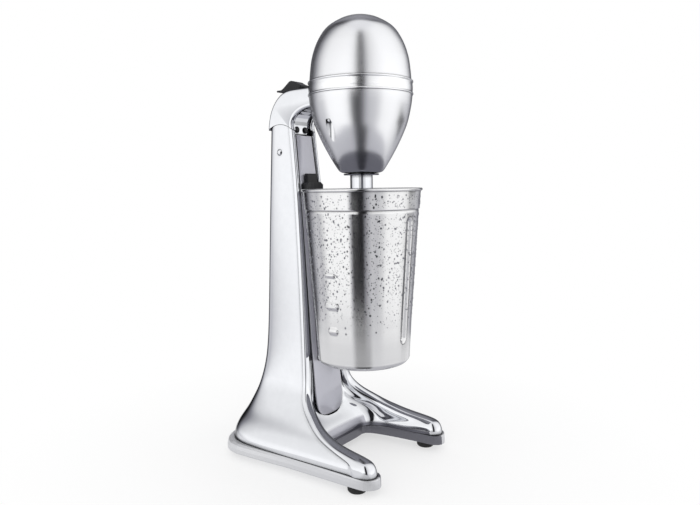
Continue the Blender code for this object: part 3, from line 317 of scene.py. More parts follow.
def plastic_material(name, dark, light, rough, scale, grain):
    """Moulded plastic with a fine etched grain and slightly polished high spots."""
    mat, nodes, shader, where = new_material(name)
    voronoi = nodes.add("ShaderNodeTexVoronoi", Vector=where, Scale=scale)
    worn = nodes.noise(where, 90.0, 4.0, 0.6)
    nodes.fill(shader, Base_Color=nodes.mix(worn, dark, light), Specular_IOR_Level=0.25)
    vary(nodes, shader, "Roughness", worn, rough * 0.8, rough * 1.2)
    bump(nodes, shader, voronoi.outputs["Distance"], grain, 0.0001)
    return mat


def striped_metal(name, dark, light, scale, rough):
    """Stacked sheets or wound wire: regular bands with uneven tone."""
    mat, nodes, shader, where = new_material(name)
    wave = nodes.add("ShaderNodeTexWave", bands_direction="Z", Vector=where, Scale=scale, Distortion=0.4)
    uneven = nodes.noise(where, 120.0, 3.0, 0.6)
    shade = nodes.math("MULTIPLY", wave.outputs["Fac"], uneven)
    nodes.fill(shader, Base_Color=nodes.mix(shade, dark, light), Metallic=1.0)
    vary(nodes, shader, "Roughness", uneven, rough * 0.7, rough * 1.3)
    bump(nodes, shader, wave.outputs["Fac"], 0.5, 0.0002)
    return mat


def water_material():
    mat, nodes, shader, where = new_material("condensation")
    ripple = nodes.noise(where, 500.0, 2.0, 0.5)
    nodes.fill(shader, Base_Color=(0.97, 0.98, 1.0), Transmission_Weight=1.0, IOR=1.33)
    vary(nodes, shader, "Roughness", ripple, 0.0, 0.04)
    bump(nodes, shader, ripple, 0.05, 0.0001)
    return mat


def metal_looks():
    return {
        "chrome": chrome_material(),
        "stand": chrome_material("stand_plate", True),
        "head": brushed_material("spun_head", (0.84, 0.845, 0.865), 0.18, 0.27, 0.2, 0.55),
        "cup": cup_material(),
        "band": brushed_material("polished_band", (0.90, 0.905, 0.92), 0.16, 0.24, 0.08, 0.3),
        "steel": brushed_material("turned_steel", (0.72, 0.73, 0.75), 0.16, 0.28, 0.2, 0.5),
        "iron": striped_metal("laminations", (0.12, 0.12, 0.13), (0.42, 0.42, 0.44), 260.0, 0.45),
        "copper": striped_metal("winding_wire", (0.28, 0.09, 0.03), (0.80, 0.36, 0.16), 420.0, 0.3),
        "bronze": striped_metal("bearing_bronze", (0.35, 0.22, 0.09), (0.66, 0.45, 0.2), 90.0, 0.4),
    }


def other_looks():
    grey, pale_grey = (0.57, 0.575, 0.60), (0.65, 0.655, 0.67)
    lilac, pale_lilac = (0.56, 0.56, 0.625), (0.62, 0.62, 0.68)
    black, worn_black = (0.006, 0.006, 0.008), (0.020, 0.020, 0.023)
    rubber, worn_rubber = (0.01, 0.01, 0.01), (0.03, 0.03, 0.03)
    carbon, worn_carbon = (0.02, 0.02, 0.022), (0.06, 0.06, 0.065)
    return {
        "skirt": paint_material("satin_grey", grey, pale_grey, 0.34, 0.4, 500.0, 0.02, True),
        "panel": paint_material("panel_enamel", lilac, pale_lilac, 0.14, 0.2, 320.0, 0.10),
        "black": plastic_material("black_moulding", black, worn_black, 0.32, 1400.0, 0.3),
        "rubber": plastic_material("foot_rubber", rubber, worn_rubber, 0.7, 900.0, 0.5),
        "carbon": plastic_material("brush_carbon", carbon, worn_carbon, 0.6, 2200.0, 0.4),
        "water": water_material(),
    }


def make_materials():
    return {**metal_looks(), **other_looks()}


# ---------------- shared geometry


def spline_through(points, steps):
    """Catmull-Rom points through an open list of points of any dimension."""
    ends = [points[0], *points, points[-1]]
    result = []
    for i in range(1, len(ends) - 2):
        a, b, c, d = (Vector(p) for p in ends[i - 1 : i + 3])
        bend = 2 * a - 5 * b + 4 * c - d
        twist = 3 * b - a - 3 * c + d
        for k in range(steps):
            t = k / steps
            result.append(tuple(0.5 * (2 * b + (c - a) * t + bend * t**2 + twist * t**3)))
    result.append(tuple(points[-1]))
    return result


def mirrored_outline(half):
    """Closes a half outline that starts and ends on X = 0."""
    return list(half) + [(-x, y) for x, y in reversed(half[1:-1])]


def arc(centre, radius, start, end, steps):
    """Points in a plane from one angle to another, in degrees, measured from the first axis."""
    result = []
    for i in range(steps + 1):
        angle = math.radians(start + (end - start) * i / steps)
        result.append((centre[0] + radius * math.cos(angle), centre[1] + radius * math.sin(angle)))
    return result


def panel_y(z):
    return PANEL_BASE_Y + PANEL_SLOPE * z


def bead(edge, out, width, rise):
    """The rounded rib beside the side face: a small step, then a half tube, ending at its inner foot."""
    out_y, out_z = out
    shape = [
        (0.0, 0.0), (0.9, 0.5), (0.7, rise * 0.8),
        (-width * 0.42, rise * 1.15), (-width * 0.9, rise * 0.7), (-width, -rise * 0.45),
    ]
    return [(edge[0] + across, edge[1] + up * out_y, edge[2] + up * out_z) for across, up in shape]


def column_ring(z, half, rear, corner, outer, inner):
    """One level of the column, from the rear middle round the side and rib to the recessed front."""
    floor = panel_y(z) + 1.7
    front = panel_y(z) - 1.0
    edge = (outer - 0.6, front + 4.2, z)
    return [
        (0.0, rear, z),
        ((half - corner) * 0.55, rear - 0.1, z),
        (half - corner, rear - 0.5, z),
        (half - 0.26 * corner, rear - 0.3 * corner - 0.4, z),
        (half, rear - corner - 1.5, z),
        (half + (outer - half) * 0.5, (rear + front) / 2.0 - 2.0, z),
        *bead(edge, (-1.0, 0.0), outer - 0.6 - inner, 4.2),
        (inner, floor, z),
        (inner * 0.8, floor, z),
        (inner * 0.4, floor, z),
        (0.0, floor, z),
    ]


def column_rings():
    """Level, half width, rear, corner radius, and the rib's outer and inner edge, from the top down."""
    levels = (
        (296.0, 15.9, 91.2, 6.5, 15.9, 10.4),
        (270.0, 16.2, 92.4, 6.5, 16.2, 10.9),
        (243.5, 16.7, 93.6, 6.5, 16.7, 11.4),
        (200.0, 18.3, 94.6, 6.5, 19.1, 13.0),
        (150.0, 20.8, 94.9, 6.5, 22.8, 15.2),
        (105.0, 24.4, 94.6, 7.5, 26.6, 17.6),
        (80.0, 27.7, 96.2, 9.5, 29.0, 19.2),
        (62.0, 31.6, 100.6, 11.7, 31.2, 20.4),
    )
    return [column_ring(*level) for level in levels]


def flare_rings():
    """Where the column widens into the base: rear and side, then the rib, then the shelf between the ribs."""
    return [
        [
            (0, 104.2, 52.0), (12, 104.1, 52.0), (22, 103.2, 52.0), (33, 98.5, 52.0), (36.6, 87, 52.3),
            (36.2, 60, 53.0), *bead((35.0, 41.0, 53.0), (-0.92, 0.4), 11.4, 4.8),
            (21.4, 41.0, 52.0), (17, 41.0, 52.0), (8.5, 41.0, 52.0), (0, 41.0, 52.0),
        ],
        [
            (0, 107.6, 44.5), (15, 107.5, 44.5), (25.5, 106.2, 44.5), (37, 100.5, 44.5), (41.8, 87, 44.7),
            (41.0, 58, 44.8), *bead((40.0, 33.0, 44.0), (-0.72, 0.7), 11.4, 4.8),
            (23.0, 38.0, 43.8), (21.0, 40.1, 44), (10.5, 40.1, 44), (0, 40.1, 44),
        ],
        [
            (0, 110.4, 38.0), (18, 110.2, 38.0), (29, 108.5, 38.0), (41.5, 101.5, 38.0), (47.2, 87, 38.0),
            (46.5, 55, 37.8), *bead((46.0, 21.0, 37.4), (-0.5, 0.86), 11.4, 4.4),
            (29, 31.2, 36.2), (22.0, 39.0, 36.5), (12, 39.0, 36.5), (0, 39.0, 36.5),
        ],
        [
            (0, 112.0, 34.0), (20, 111.7, 34.0), (32.5, 109.5, 34.0), (45.5, 102, 34.0), (51.8, 87, 34.0),
            (50.8, 50, 33.8), *bead((49.6, 12.5, 32.8), (-0.4, 0.92), 11.4, 4.0),
            (34.3, 24.2, 31.6), (26.5, 31.2, 31.6), (14, 34.6, 31.4), (0, 34.8, 31.4),
        ],
        [
            (0, 113.0, 30.6), (22, 112.6, 30.6), (36, 110.2, 30.6), (50, 102.3, 30.6), (56.0, 86.5, 30.6),
            (54.8, 46, 30.3), *bead((52.8, 1.5, 29.4), (-0.35, 0.94), 11.6, 3.6),
            (36.9, 17.6, 27.0), (30.0, 26.4, 27.2), (17, 28.8, 27.0), (0, 29.2, 27.0),
        ],
        [
            (0, 113.8, 27.2), (24, 113.4, 27.2), (39.5, 110.8, 27.2), (54, 102.5, 27.2), (59.8, 86.3, 27.2),
            (58.0, 42, 26.8), *bead((55.4, -12.0, 26.0), (-0.3, 0.95), 12.6, 3.4),
            (38.4, 12.0, 22.6), (32.4, 23.2, 23.2), (18, 24.4, 23.0), (0, 24.6, 23.0),
        ],
    ]


def leg_rings():
    """The legs down to the seam: rear and side, then round the ball-shaped toe, then the inner wall."""
    return [
        [
            (0, 114.3, 23.0), (26, 113.9, 23.0), (42.5, 111.2, 23.0), (57.3, 102.8, 23.0), (63.6, 86.2, 23.0),
            (60.8, 38, 22.6), (57.9, -25.2, 23.2), (59.4, -29.4, 23.6), (57.9, -37.0, 26.0),
            (51.7, -39.6, 27.3), (44.9, -37.0, 25.8), (42.9, -16.0, 21.0), (38.6, 8.6, 18.8),
            (32.6, 21.6, 19.0), (18, 22.5, 18.6), (0, 22.7, 18.6),
        ],
        [
            (0, 114.5, 20.0), (26.6, 114.1, 20.0), (43.8, 111.3, 20.0), (58.4, 103.0, 20.0),
            (65.0, 86.1, 20.0), (61.8, 37, 20.0), (59.2, -27.4, 20.2), (60.8, -31.0, 20.6),
            (59.6, -42.4, 23.0), (51.6, -46.4, 24.2), (43.4, -42.4, 22.8), (42.0, -22.0, 18.8),
            (38.2, 7.2, 17.6), (32.2, 21.4, 17.4), (17.7, 22.2, 17.2), (0, 22.3, 17.2),
        ],
        [
            (0, 114.6, 17.4), (27, 114.2, 17.4), (44.5, 111.4, 17.4), (59, 103.2, 17.4), (65.9, 86, 17.4),
            (62.4, 36, 17.4), (60.0, -28.0, 17.4), (61.0, -32.4, 17.4), (60.0, -44.6, 17.8),
            (51.6, -48.8, 18.2), (43.0, -44.6, 17.8), (41.8, -26.0, 16.6), (38.0, 6.2, 16.3),
            (32.0, 21.2, 16.0), (17.5, 21.9, 15.8), (0, 22.0, 15.8),
        ],
        [
            (0, 114.6, SEAM), (27.5, 114.2, SEAM), (45, 111.4, SEAM), (58.9, 103.3, SEAM), (66.4, 86, SEAM),
            (62.9, 35, SEAM), (60.2, -28.0, SEAM), (61.0, -33.0, SEAM), (60.0, -44.8, SEAM),
            (51.6, -49.0, SEAM), (43.0, -44.8, SEAM), (41.6, -27.0, SEAM), (37.7, 5.4, SEAM),
            (31.8, 21.0, SEAM), (17.5, 21.6, SEAM), (0, 21.7, SEAM),
        ],
    ]


def stand_rings():
    """Levels of the stand from the top of the column down to the seam above the base pan."""
    return column_rings() + flare_rings() + leg_rings()


def knuckle_outline(radius, shelf, reach):
    """The region above the hinge knuckle, in Y and Z: an arc about the pin and a level front shelf."""
    drop = shelf - HINGE_Z
    start = math.degrees(math.asin(drop / radius))
    curve = arc((HINGE_Y, HINGE_Z), radius, 180.0 - start, 0.0, 26)
    return [(reach[0], shelf), *curve, (reach[1], HINGE_Z), (reach[1], reach[2]), (reach[0], reach[2])]


def neck_side():
    """The side outline of the neck in Y and Z, from the front shelf over the rear to the head."""
    outer = [
        (91.6, 262.0), (91.5, 284.0), (91.0, 291.0), (89.0, 299.6), (85.2, 307.2), (79.6, 313.6),
        (72.6, 317.8), (64.0, 319.4), (52.0, 319.5), (34.0, 319.5),
    ]
    inner = [
        (34.0, 304.0), (41.0, 303.6), (46.4, 302.7), (53.2, 300.6), (58.6, 297.4), (61.9, 293.0),
        (62.7, 288.4), (61.6, 284.4), (61.0, 281.0), (61.0, 262.0),
    ]
    return spline_through(outer, 2) + spline_through(inner, 2)


# ---------------- mesh helpers


def finish_piece(obj, body, slot, mat, *nodes):
    """Moves a mesh drawn about the spindle axis into the record's frame, and dresses it."""
    obj.data.transform(Matrix.Translation((0.0, AXIS_Y, 0.0)))
    obj.data.materials.clear()
    obj.data.materials.append(mat)
    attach(obj, body)
    if nodes:
        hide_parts(*nodes)
    return obj


def link(name, data):
    """A new object in the scene, from a mesh, camera or lamp."""
    obj = bpy.data.objects.new(name, data)
    bpy.context.scene.collection.objects.link(obj)
    return obj


def from_bmesh(name, bm):
    bmesh.ops.recalc_face_normals(bm, faces=bm.faces)
    mesh = bpy.data.meshes.new(name)
    bm.to_mesh(mesh)
    bm.free()
    return link(name, mesh)


def smooth(obj, degrees):
    """Shades the surface smooth, except across edges sharper than the angle."""
    obj.data.shade_smooth()
    obj.data.set_sharp_from_angle(angle=math.radians(degrees))


def baked(obj):
    """Applies the modifiers to the mesh."""
    bpy.context.view_layer.update()
    graph = bpy.context.evaluated_depsgraph_get()
    mesh = bpy.data.meshes.new_from_object(obj.evaluated_get(graph))
    obj.modifiers.clear()
    obj.data = mesh
    return obj


def boolean(obj, others, operation="DIFFERENCE"):
    for other in others:
        mod = obj.modifiers.new("cut", "BOOLEAN")
        mod.operation = operation
        mod.object = other
        mod.solver = "EXACT"
    baked(obj)
    for other in others:
        bpy.data.objects.remove(other)
    return obj


def bevel(obj, width, segments, degrees):
    mod = obj.modifiers.new("edges", "BEVEL")
    mod.width = width * MM
    mod.segments = segments
    mod.limit_method = "ANGLE"
    mod.angle_limit = math.radians(degrees)
    return baked(obj)


def box(name, low, high):
    bm = bmesh.new()
    bmesh.ops.create_cube(bm, size=1.0)
    size = [(b - a) * MM for a, b in zip(low, high)]
    bmesh.ops.scale(bm, vec=size, verts=bm.verts)
    bmesh.ops.translate(bm, vec=[(a + b) * MM / 2.0 for a, b in zip(low, high)], verts=bm.verts)
    return from_bmesh(name, bm)


def rod(name, radius, length, centre, axis="Z"):
    bm = bmesh.new()
    r = radius * MM
    bmesh.ops.create_cone(bm, cap_ends=True, segments=48, radius1=r, radius2=r, depth=length * MM)
    turn = {"X": Matrix.Rotation(math.pi / 2, 4, "Y"), "Y": Matrix.Rotation(math.pi / 2, 4, "X")}
    if axis in turn:
        bmesh.ops.transform(bm, matrix=turn[axis], verts=bm.verts)
    bmesh.ops.translate(bm, vec=[c * MM for c in centre], verts=bm.verts)
    return from_bmesh(name, bm)


def prism(name, outline, low, high, plane="YZ"):
    """A flat outline in the YZ or the XZ plane, extruded between two positions along the plane's normal."""
    bm = bmesh.new()
    if plane == "YZ":
        rings = [[bm.verts.new((x * MM, a * MM, b * MM)) for a, b in outline] for x in (low, high)]
    else:
        rings = [[bm.verts.new((a * MM, y * MM, b * MM)) for a, b in outline] for y in (low, high)]
    bm.faces.new(rings[0])
    bm.faces.new(rings[1][::-1])
    count = len(outline)
    for i in range(count):
        j = (i + 1) % count
        bm.faces.new((rings[0][i], rings[0][j], rings[1][j], rings[1][i]))
    return from_bmesh(name, bm)


def swept_tube(name, path, radius, sides=20):
    """A round bar along a path that stays in a plane of constant X."""
    bm = bmesh.new()
    rings = []
    last = len(path) - 1
    for i, point in enumerate(path):
        along = (Vector(path[min(i + 1, last)]) - Vector(path[max(i - 1, 0)])).normalized()
        across = Vector((1.0, 0.0, 0.0))
        lift = along.cross(across)
        ring = []
        for k in range(sides):
            angle = 2.0 * math.pi * k / sides
            offset = across * math.cos(angle) + lift * math.sin(angle)
            ring.append(bm.verts.new((Vector(point) + offset * radius) * MM))
        rings.append(ring)
    for upper, lower in zip(rings, rings[1:]):
        for k in range(sides):
            j = (k + 1) % sides
            bm.faces.new((upper[k], upper[j], lower[j], lower[k]))
    bm.faces.new(rings[0])
    bm.faces.new(rings[-1][::-1])
    return from_bmesh(name, bm)


def turned(name, profile, steps=128, closed=True, bearings=None):
    """A (radius, height) profile turned about the spindle axis; points at radius 0 become one vertex."""
    bm = bmesh.new()
    bearings = bearings or [360.0 * i / steps for i in range(steps)]
    columns = [(math.cos(math.radians(b)), math.sin(math.radians(b))) for b in bearings]
    rings = []
    for r, z in profile:
        if r < 1e-6:
            rings.append([bm.verts.new((0.0, 0.0, z * MM))])
        else:
            rings.append([bm.verts.new((c * r * MM, s * r * MM, z * MM)) for c, s in columns])
    for upper, lower in zip(rings, rings[1:]):
        join_rings(bm, upper, lower)
    if closed:
        join_rings(bm, rings[-1], rings[0])
    return from_bmesh(name, bm)


def join_rings(bm, upper, lower):
    """Faces between two rings, either of which may be a single point on the axis."""
    count = max(len(upper), len(lower))
    if count == 1:
        return
    for i in range(count):
        j = (i + 1) % count
        if len(upper) == 1:
            bm.faces.new((upper[0], lower[j], lower[i]))
        elif len(lower) == 1:
            bm.faces.new((upper[i], upper[j], lower[0]))
        else:
            bm.faces.new((upper[i], upper[j], lower[j], lower[i]))


def shell_profile(outer, thickness):
    """Closes an outer profile with an inner one set in by the thickness; cut square at its open ends."""
    inner = []
    last = len(outer) - 1
    for i, (r, z) in enumerate(outer):
        before, after = outer[max(i - 1, 0)], outer[min(i + 1, last)]
        dr, dz = after[0] - before[0], after[1] - before[1]
        size = math.hypot(dr, dz)
        if i in (0, last) and r > 0.0:
            dr, dz, size = (0.0, -1.0, 1.0) if abs(dz) > abs(dr) else (-1.0, 0.0, 1.0)
        inner.append((max(r + dz / size * thickness, 0.0), z - dr / size * thickness))
    return list(outer) + inner[::-1]


def creased_skin(rings, creases):
    """Quads between the rings, creased at the open top and bottom and down the columns named in creases."""
    bm = bmesh.new()
    rows = [[bm.verts.new([c * MM for c in p]) for p in ring] for ring in rings]
    for upper, lower in zip(rows, rows[1:]):
        for i in range(len(upper) - 1):
            bm.faces.new((upper[i], upper[i + 1], lower[i + 1], lower[i]))
    layer = bm.edges.layers.float.new("crease_edge")
    for edge in bm.edges:
        if len(edge.link_faces) == 1 and max(abs(v.co.x) for v in edge.verts) > 1e-6:
            edge[layer] = 1.0
    for index, value in creases.items():
        for upper, lower in zip(rows, rows[1:]):
            bm.edges.get((upper[index], lower[index]))[layer] = value
    return bm


def capped_solid(name, rings, levels, creases):
    """A half skin of rings, mirrored and subdivided, with its open top and bottom closed flat."""
    obj = from_bmesh(name, creased_skin(rings, creases))
    mirror = obj.modifiers.new("both_sides", "MIRROR")
    mirror.merge_threshold = 0.05 * MM
    soft = obj.modifiers.new("soft", "SUBSURF")
    soft.levels = levels
    soft.render_levels = levels
    baked(obj)
    bm = bmesh.new()
    bm.from_mesh(obj.data)
    bmesh.ops.holes_fill(bm, edges=[e for e in bm.edges if e.is_boundary], sides=0)
    bmesh.ops.recalc_face_normals(bm, faces=bm.faces)
    bm.to_mesh(obj.data)
    bm.free()
    return obj


# ---------------- pieces


def stand_piece(mats):
    stand = capped_solid("stand_shell", stand_rings(), 3, {6: 0.95, 7: 0.7, 12: 0.8})
    above_knuckle = knuckle_outline(KNUCKLE, FRONT_SHELF, (40.0, 115.0, 320.0))
    cutters = [
        prism("cut_knuckle", above_knuckle, -PAST_SIDES, PAST_SIDES),
        box("cut_slot", (-BARREL_HALF - 0.7, 82.0, 254.5), (BARREL_HALF + 0.7, 102.0, 300.0)),
        box("cut_inside", (-13.2, 66.7, 200.0), (13.2, 88.5, 300.0)),
        box("cut_mouth", (-12.2, 45.0, FRONT_SHELF - 0.25), (12.2, 70.0, 300.0)),
        rod("cut_bore", PIN_RADIUS + GAP, 60.0, (0, HINGE_Y, HINGE_Z), "X"),
        rod("cut_cord", 4.6, 30.0, (0, 112.0, 24.0), "Y"),
        panel_pocket(),
    ]
    boolean(stand, cutters)
    smooth(stand, 35.0)
    return finish_piece(stand, "stand", "polished_chrome", mats["stand"], "stand_casting")


def panel_outline(margin):
    half_top = 10.0 + margin
    half_low = 17.6 + margin
    top = FRONT_SHELF - 0.5 + (20.0 if margin else 0.0)
    low = 31.8 - margin
    corner = [(half_low + 0.2, 46.0), (16.6 + margin, 39.2), (14.0 + margin, 35.2), (10.4 + margin, 33.0)]
    half = [(0.0, top), (half_top, top), (half_low, 80.0), (half_low + 0.6, 56.0)]
    half += spline_through(corner, 3) + [(6.0, low + 0.25), (0.0, low)]
    return mirrored_outline(half)


def panel_sheet(name, margin, front, back):
    sheet = prism(name, panel_outline(margin), 0.0, 1.0, "XZ")
    for vert in sheet.data.vertices:
        x, y, z = vert.co
        depth = back if y > 0.0005 else front
        vert.co = (x, (panel_y(z / MM) + depth) * MM, z)
    return sheet


def panel_pocket():
    return panel_sheet("cut_panel", GAP, -12.0, PANEL_THICK + GAP)


def panel_piece(mats):
    panel = panel_sheet("column_panel_face", 0.0, 0.0, PANEL_THICK)
    bevel(panel, 0.6, 3, 35.0)
    smooth(panel, 30.0)
    return finish_piece(panel, "stand", "glossy_panel", mats["panel"], "column_panel")


def egg_shell(name, profile):
    return turned(name, shell_profile(spline_through(profile, 4), HEAD_WALL), HEAD_STEPS)


def dome_piece(mats):
    dome = egg_shell("dome", DOME_PROFILE)
    smooth(dome, 40.0)
    return finish_piece(dome, "head", "brushed_steel", mats["head"], "dome_shell")


def bowl_piece(mats):
    """The lower shell, with a screw seat on each side whose groove runs down and out of the surface."""
    lower = egg_shell("lower_bowl", LOWER_PROFILE)
    solid = [(0.0, BAND_LOW - 1.0)] + [(r - 0.4, z) for r, z in LOWER_PROFILE[1:]] + [(0.0, NOSE_LOW)]
    for sign in (1.0, -1.0):
        low, high = sorted((sign * 29.4, sign * 40.0))
        seat = box("cut_seat", (low, -2.4, 264.5), (high, 9.4, 291.8))
        boolean(seat, [turned("cut_solid", solid, 96, closed=False)], "INTERSECT")
        boolean(lower, [seat], "UNION")
        groove = rod("cut_groove", 3.8, 30.0, (sign * 35.6, 3.5, 273.6))
        screw = rod("cut_screw", 1.3, 6.0, (sign * 35.6, 3.5, 290.6))
        boolean(lower, [groove, screw])
    smooth(lower, 40.0)
    return finish_piece(lower, "head", "brushed_steel", mats["head"], "lower_shell")


def band_piece(mats):
    """The flat band between the shells, with a small rounded bead along each edge."""
    top = BAND_HIGH
    low = BAND_LOW
    band = [
        (42.2, top), (42.8, top), (43.15, top - 0.25), (43.25, top - 0.7), (43.1, top - 1.15),
        (42.6, top - 1.5), (42.55, top - 1.9), (42.7, top - 3.5), (42.85, low + 5.5), (42.75, low + 3.5),
        (42.65, low + 1.9), (42.7, low + 1.5), (43.2, low + 1.15), (43.35, low + 0.7), (43.25, low + 0.25),
        (42.9, low), (42.2, low), (40.4, low), (40.4, top),
    ]
    ring = turned("head_band", band, HEAD_STEPS)
    smooth(ring, 60.0)
    return finish_piece(ring, "head", "polished_chrome", mats["band"], "trim_band")


def head_solid(name, margin):
    """The whole head as one turned solid, for trimming what meets it."""
    band = [(43.4, BAND_HIGH + 0.3), (43.4, BAND_LOW - 0.3)]
    outline = [(r + margin, z) for r, z in [*DOME_PROFILE[1:], *band, *LOWER_PROFILE[1:]]]
    return turned(name, [(0.0, 380.0), *outline, (0.0, 240.0)], 128, closed=False)


def neck_bead(x, below):
    """The rounded rib along the underside of the arch, trimmed where it meets the column and the head."""
    bend = [
        (36.0, 306.0), (46.6, 304.9), (54.2, 302.7), (60.4, 299.0),
        (64.1, 293.8), (65.0, 288.4), (64.0, 283.6), (63.4, 279.0),
    ]
    rib = swept_tube("neck_rib", [(x, y, z) for y, z in spline_through(bend, 4)], 2.6)
    column = prism("cut_rib_below", below, -PAST_SIDES, PAST_SIDES)
    return boolean(rib, [column, head_solid("cut_rib_head", 0.35)])


# Outlines inside the neck in Y and Z: the open recess under the arch, the hollow, and the solid hinge barrel.
NECK_RECESS = (
    (30.0, 309.0), (48.0, 308.6), (56.5, 305.6), (63.6, 300.6), (67.4, 294.0),
    (68.4, 287.0), (68.4, 270.0), (50.0, 270.0), (50.0, 290.0), (30.0, 300.0),
)
NECK_HOLLOW = (
    (88.2, 270.0), (88.2, 286.0), (86.6, 297.0), (81.0, 307.0), (73.0, 313.4), (64.0, 315.6), (54.0, 315.8),
    (54.0, 309.6), (60.0, 307.6), (67.0, 302.4), (71.0, 296.0), (72.0, 288.0), (72.0, 270.0),
)
HINGE_BARREL = (
    (69.4, 296.0), (69.4, 266.0), (70.4, 260.6), (73.6, 257.4), (77.6, 256.4), (82.2, 257.8),
    (86.4, 261.6), (89.8, 267.0), (90.6, 272.0), (90.6, 290.0), (84.0, 296.0),
)


def neck_piece(mats):
    neck = prism("neck_arch", neck_side(), -NECK_HALF, NECK_HALF)
    bevel(neck, 2.6, 6, 50.0)
    under = knuckle_outline(KNUCKLE + 0.4, FRONT_SHELF + 0.4, (30.0, 125.0, 262.0))
    below = [(30.0, FRONT_SHELF + 0.4), *under[1:-3], (125.0, HINGE_Z), (125.0, 230.0), (30.0, 230.0)]
    boolean(neck, [
        prism("cut_below", below, -PAST_SIDES, PAST_SIDES),
        prism("cut_recess", NECK_RECESS, -11.6, 11.6),
        prism("cut_hollow", NECK_HOLLOW, -12.6, 12.6),
        head_solid("cut_head", 0.35),
        box("cut_switch", (-6.4, 61.0, 306.0), (6.4, 83.0, 330.0)),
    ])
    boolean(neck, [prism("barrel", HINGE_BARREL, -BARREL_HALF, BARREL_HALF)], "UNION")
    boolean(neck, [neck_bead(-13.6, below), neck_bead(13.6, below)], "UNION")
    boolean(neck, [rod("cut_bore", PIN_RADIUS + GAP, 60.0, (0, HINGE_Y, HINGE_Z), "X")])
    smooth(neck, 30.0)
    return finish_piece(neck, "head", "polished_chrome", mats["chrome"], "neck_casting")


# ---------------- cup


# Two pressed flutes, and raised volume marks one above another: height on the wall, half length, half width.
FLUTES = (-90.0, 90.0)
FLUTE_LOW = 112.0
FLUTE_HIGH = 206.0
MARK_BEARING = 180.0
MARKS = ((166.0, 4.9, 2.0), (141.0, 6.8, 3.1), (120.0, 4.9, 2.4))
DROP_TRIES = 6000


def cup_radius(z):
    share = (z - CUP_FLOOR) / (CUP_RIM - CUP_FLOOR)
    return CUP_BOTTOM_RADIUS + 0.6 + (CUP_RIM_RADIUS - CUP_BOTTOM_RADIUS - 0.6) * share


def wall_drop(z):
    """How far the wall below the step sits inside the straight taper."""
    return 0.55 * min(1.0, (z - 92.0) / 30.0)


def wrapped_degrees(angle):
    return (angle + 180.0) % 360.0 - 180.0


def smoothstep(low, high, value):
    share = max(0.0, min(1.0, (value - low) / (high - low)))
    return share * share * (3.0 - 2.0 * share)


def pressing(bearing, z, r):
    """The pressed-in flutes and the raised marks, as a radial offset in millimetres."""
    push = 0.0
    for flute in FLUTES:
        across = math.radians(wrapped_degrees(bearing - flute)) * r
        past = max(FLUTE_LOW - z, z - FLUTE_HIGH, 0.0)
        push -= 2.4 * (1.0 - smoothstep(1.4, 4.8, math.hypot(across, past)))
    for height, half_long, half_high in MARKS:
        across = math.radians(wrapped_degrees(bearing - MARK_BEARING)) * r
        past = max(abs(across) - (half_long - half_high), 0.0)
        push += 1.3 * (1.0 - smoothstep(half_high - 0.7, half_high + 0.1, math.hypot(past, z - height)))
    return push


def cup_bearings():
    """Columns of the cup wall: every two degrees, and every half degree over the flutes and the marks."""
    centres = (*FLUTES, MARK_BEARING)
    fine = [wrapped_degrees(centre + step * 0.5) for centre in centres for step in range(-22, 23)]
    coarse = [float(b) for b in range(-180, 180, 2)]
    kept = [b for b in coarse if min(abs(wrapped_degrees(b - c)) for c in centres) > 11.0]
    return sorted({round(b, 3) for b in fine + kept})


def cup_outside():
    """Down the outside: the rolled rim, the collar, the step, the tapered wall and the stepped base."""
    top = CUP_RIM
    low = CUP_FLOOR
    rim = [
        (50.1, top), (50.5, top - 0.25), (50.7, top - 0.7), (50.7, top - 1.4),
        (50.45, top - 2.0), (50.0, top - 2.3), (49.4, top - 2.45),
    ]
    collar = [(cup_radius(z), z) for z in (229.0, 224.0, 218.0, 217.2)]
    step = [
        (cup_radius(216.8) - 0.3, 217.0), (cup_radius(216.4) - 0.85, 216.7),
        (cup_radius(216.0) - 0.8, 216.1), (cup_radius(215.4) - 0.55, 215.6),
    ]
    wall = [(cup_radius(z) - wall_drop(z), float(z)) for z in range(214, 92, -1)]
    base = [
        (39.75, 91.9), (39.45, 90.9), (38.7, 89.8), (37.7, 88.7), (36.4, 88.05), (34.8, low),
        (31.0, low), (30.2, 88.0), (29.6, low + 1.0), (15.0, low + 1.0), (0.0, low + 1.0),
    ]
    return rim + collar + step + wall + base


def cup_inside():
    """Up the inside: the floor, its rounded corner, the wall and the inner edge of the rim."""
    floor = [(0.0, 89.6), (15.0, 89.6), (30.0, 89.6), (34.6, 88.9), (36.4, 89.4), (37.6, 90.4), (38.3, 91.8)]
    wall = [(cup_radius(z) - 0.9 - wall_drop(z), z) for z in range(94, 231, 2)]
    return floor + wall + [(48.5, 231.6), (48.5, 232.8), (48.9, 233.7), (49.5, CUP_RIM)]


def cup_piece(mats):
    cup = turned("steel_cup", cup_outside() + cup_inside(), bearings=cup_bearings())
    for vert in cup.data.vertices:
        x, y, z = (c / MM for c in vert.co)
        r = math.hypot(x, y)
        if r > 20.0 and 94.0 < z < 214.0:
            scale = (r + pressing(math.degrees(math.atan2(y, x)), z, r)) / r
            vert.co.x *= scale
            vert.co.y *= scale
    smooth(cup, 60.0)
    return finish_piece(cup, "cup", "brushed_steel", mats["cup"], "malt_cup")


def bead_shape():
    """A small closed lens, as unit points and faces."""
    ball = bmesh.new()
    bmesh.ops.create_uvsphere(ball, u_segments=6, v_segments=4, radius=1.0)
    points = [tuple(v.co) for v in ball.verts]
    faces = [[v.index for v in f.verts] for f in ball.faces]
    ball.free()
    return points, faces


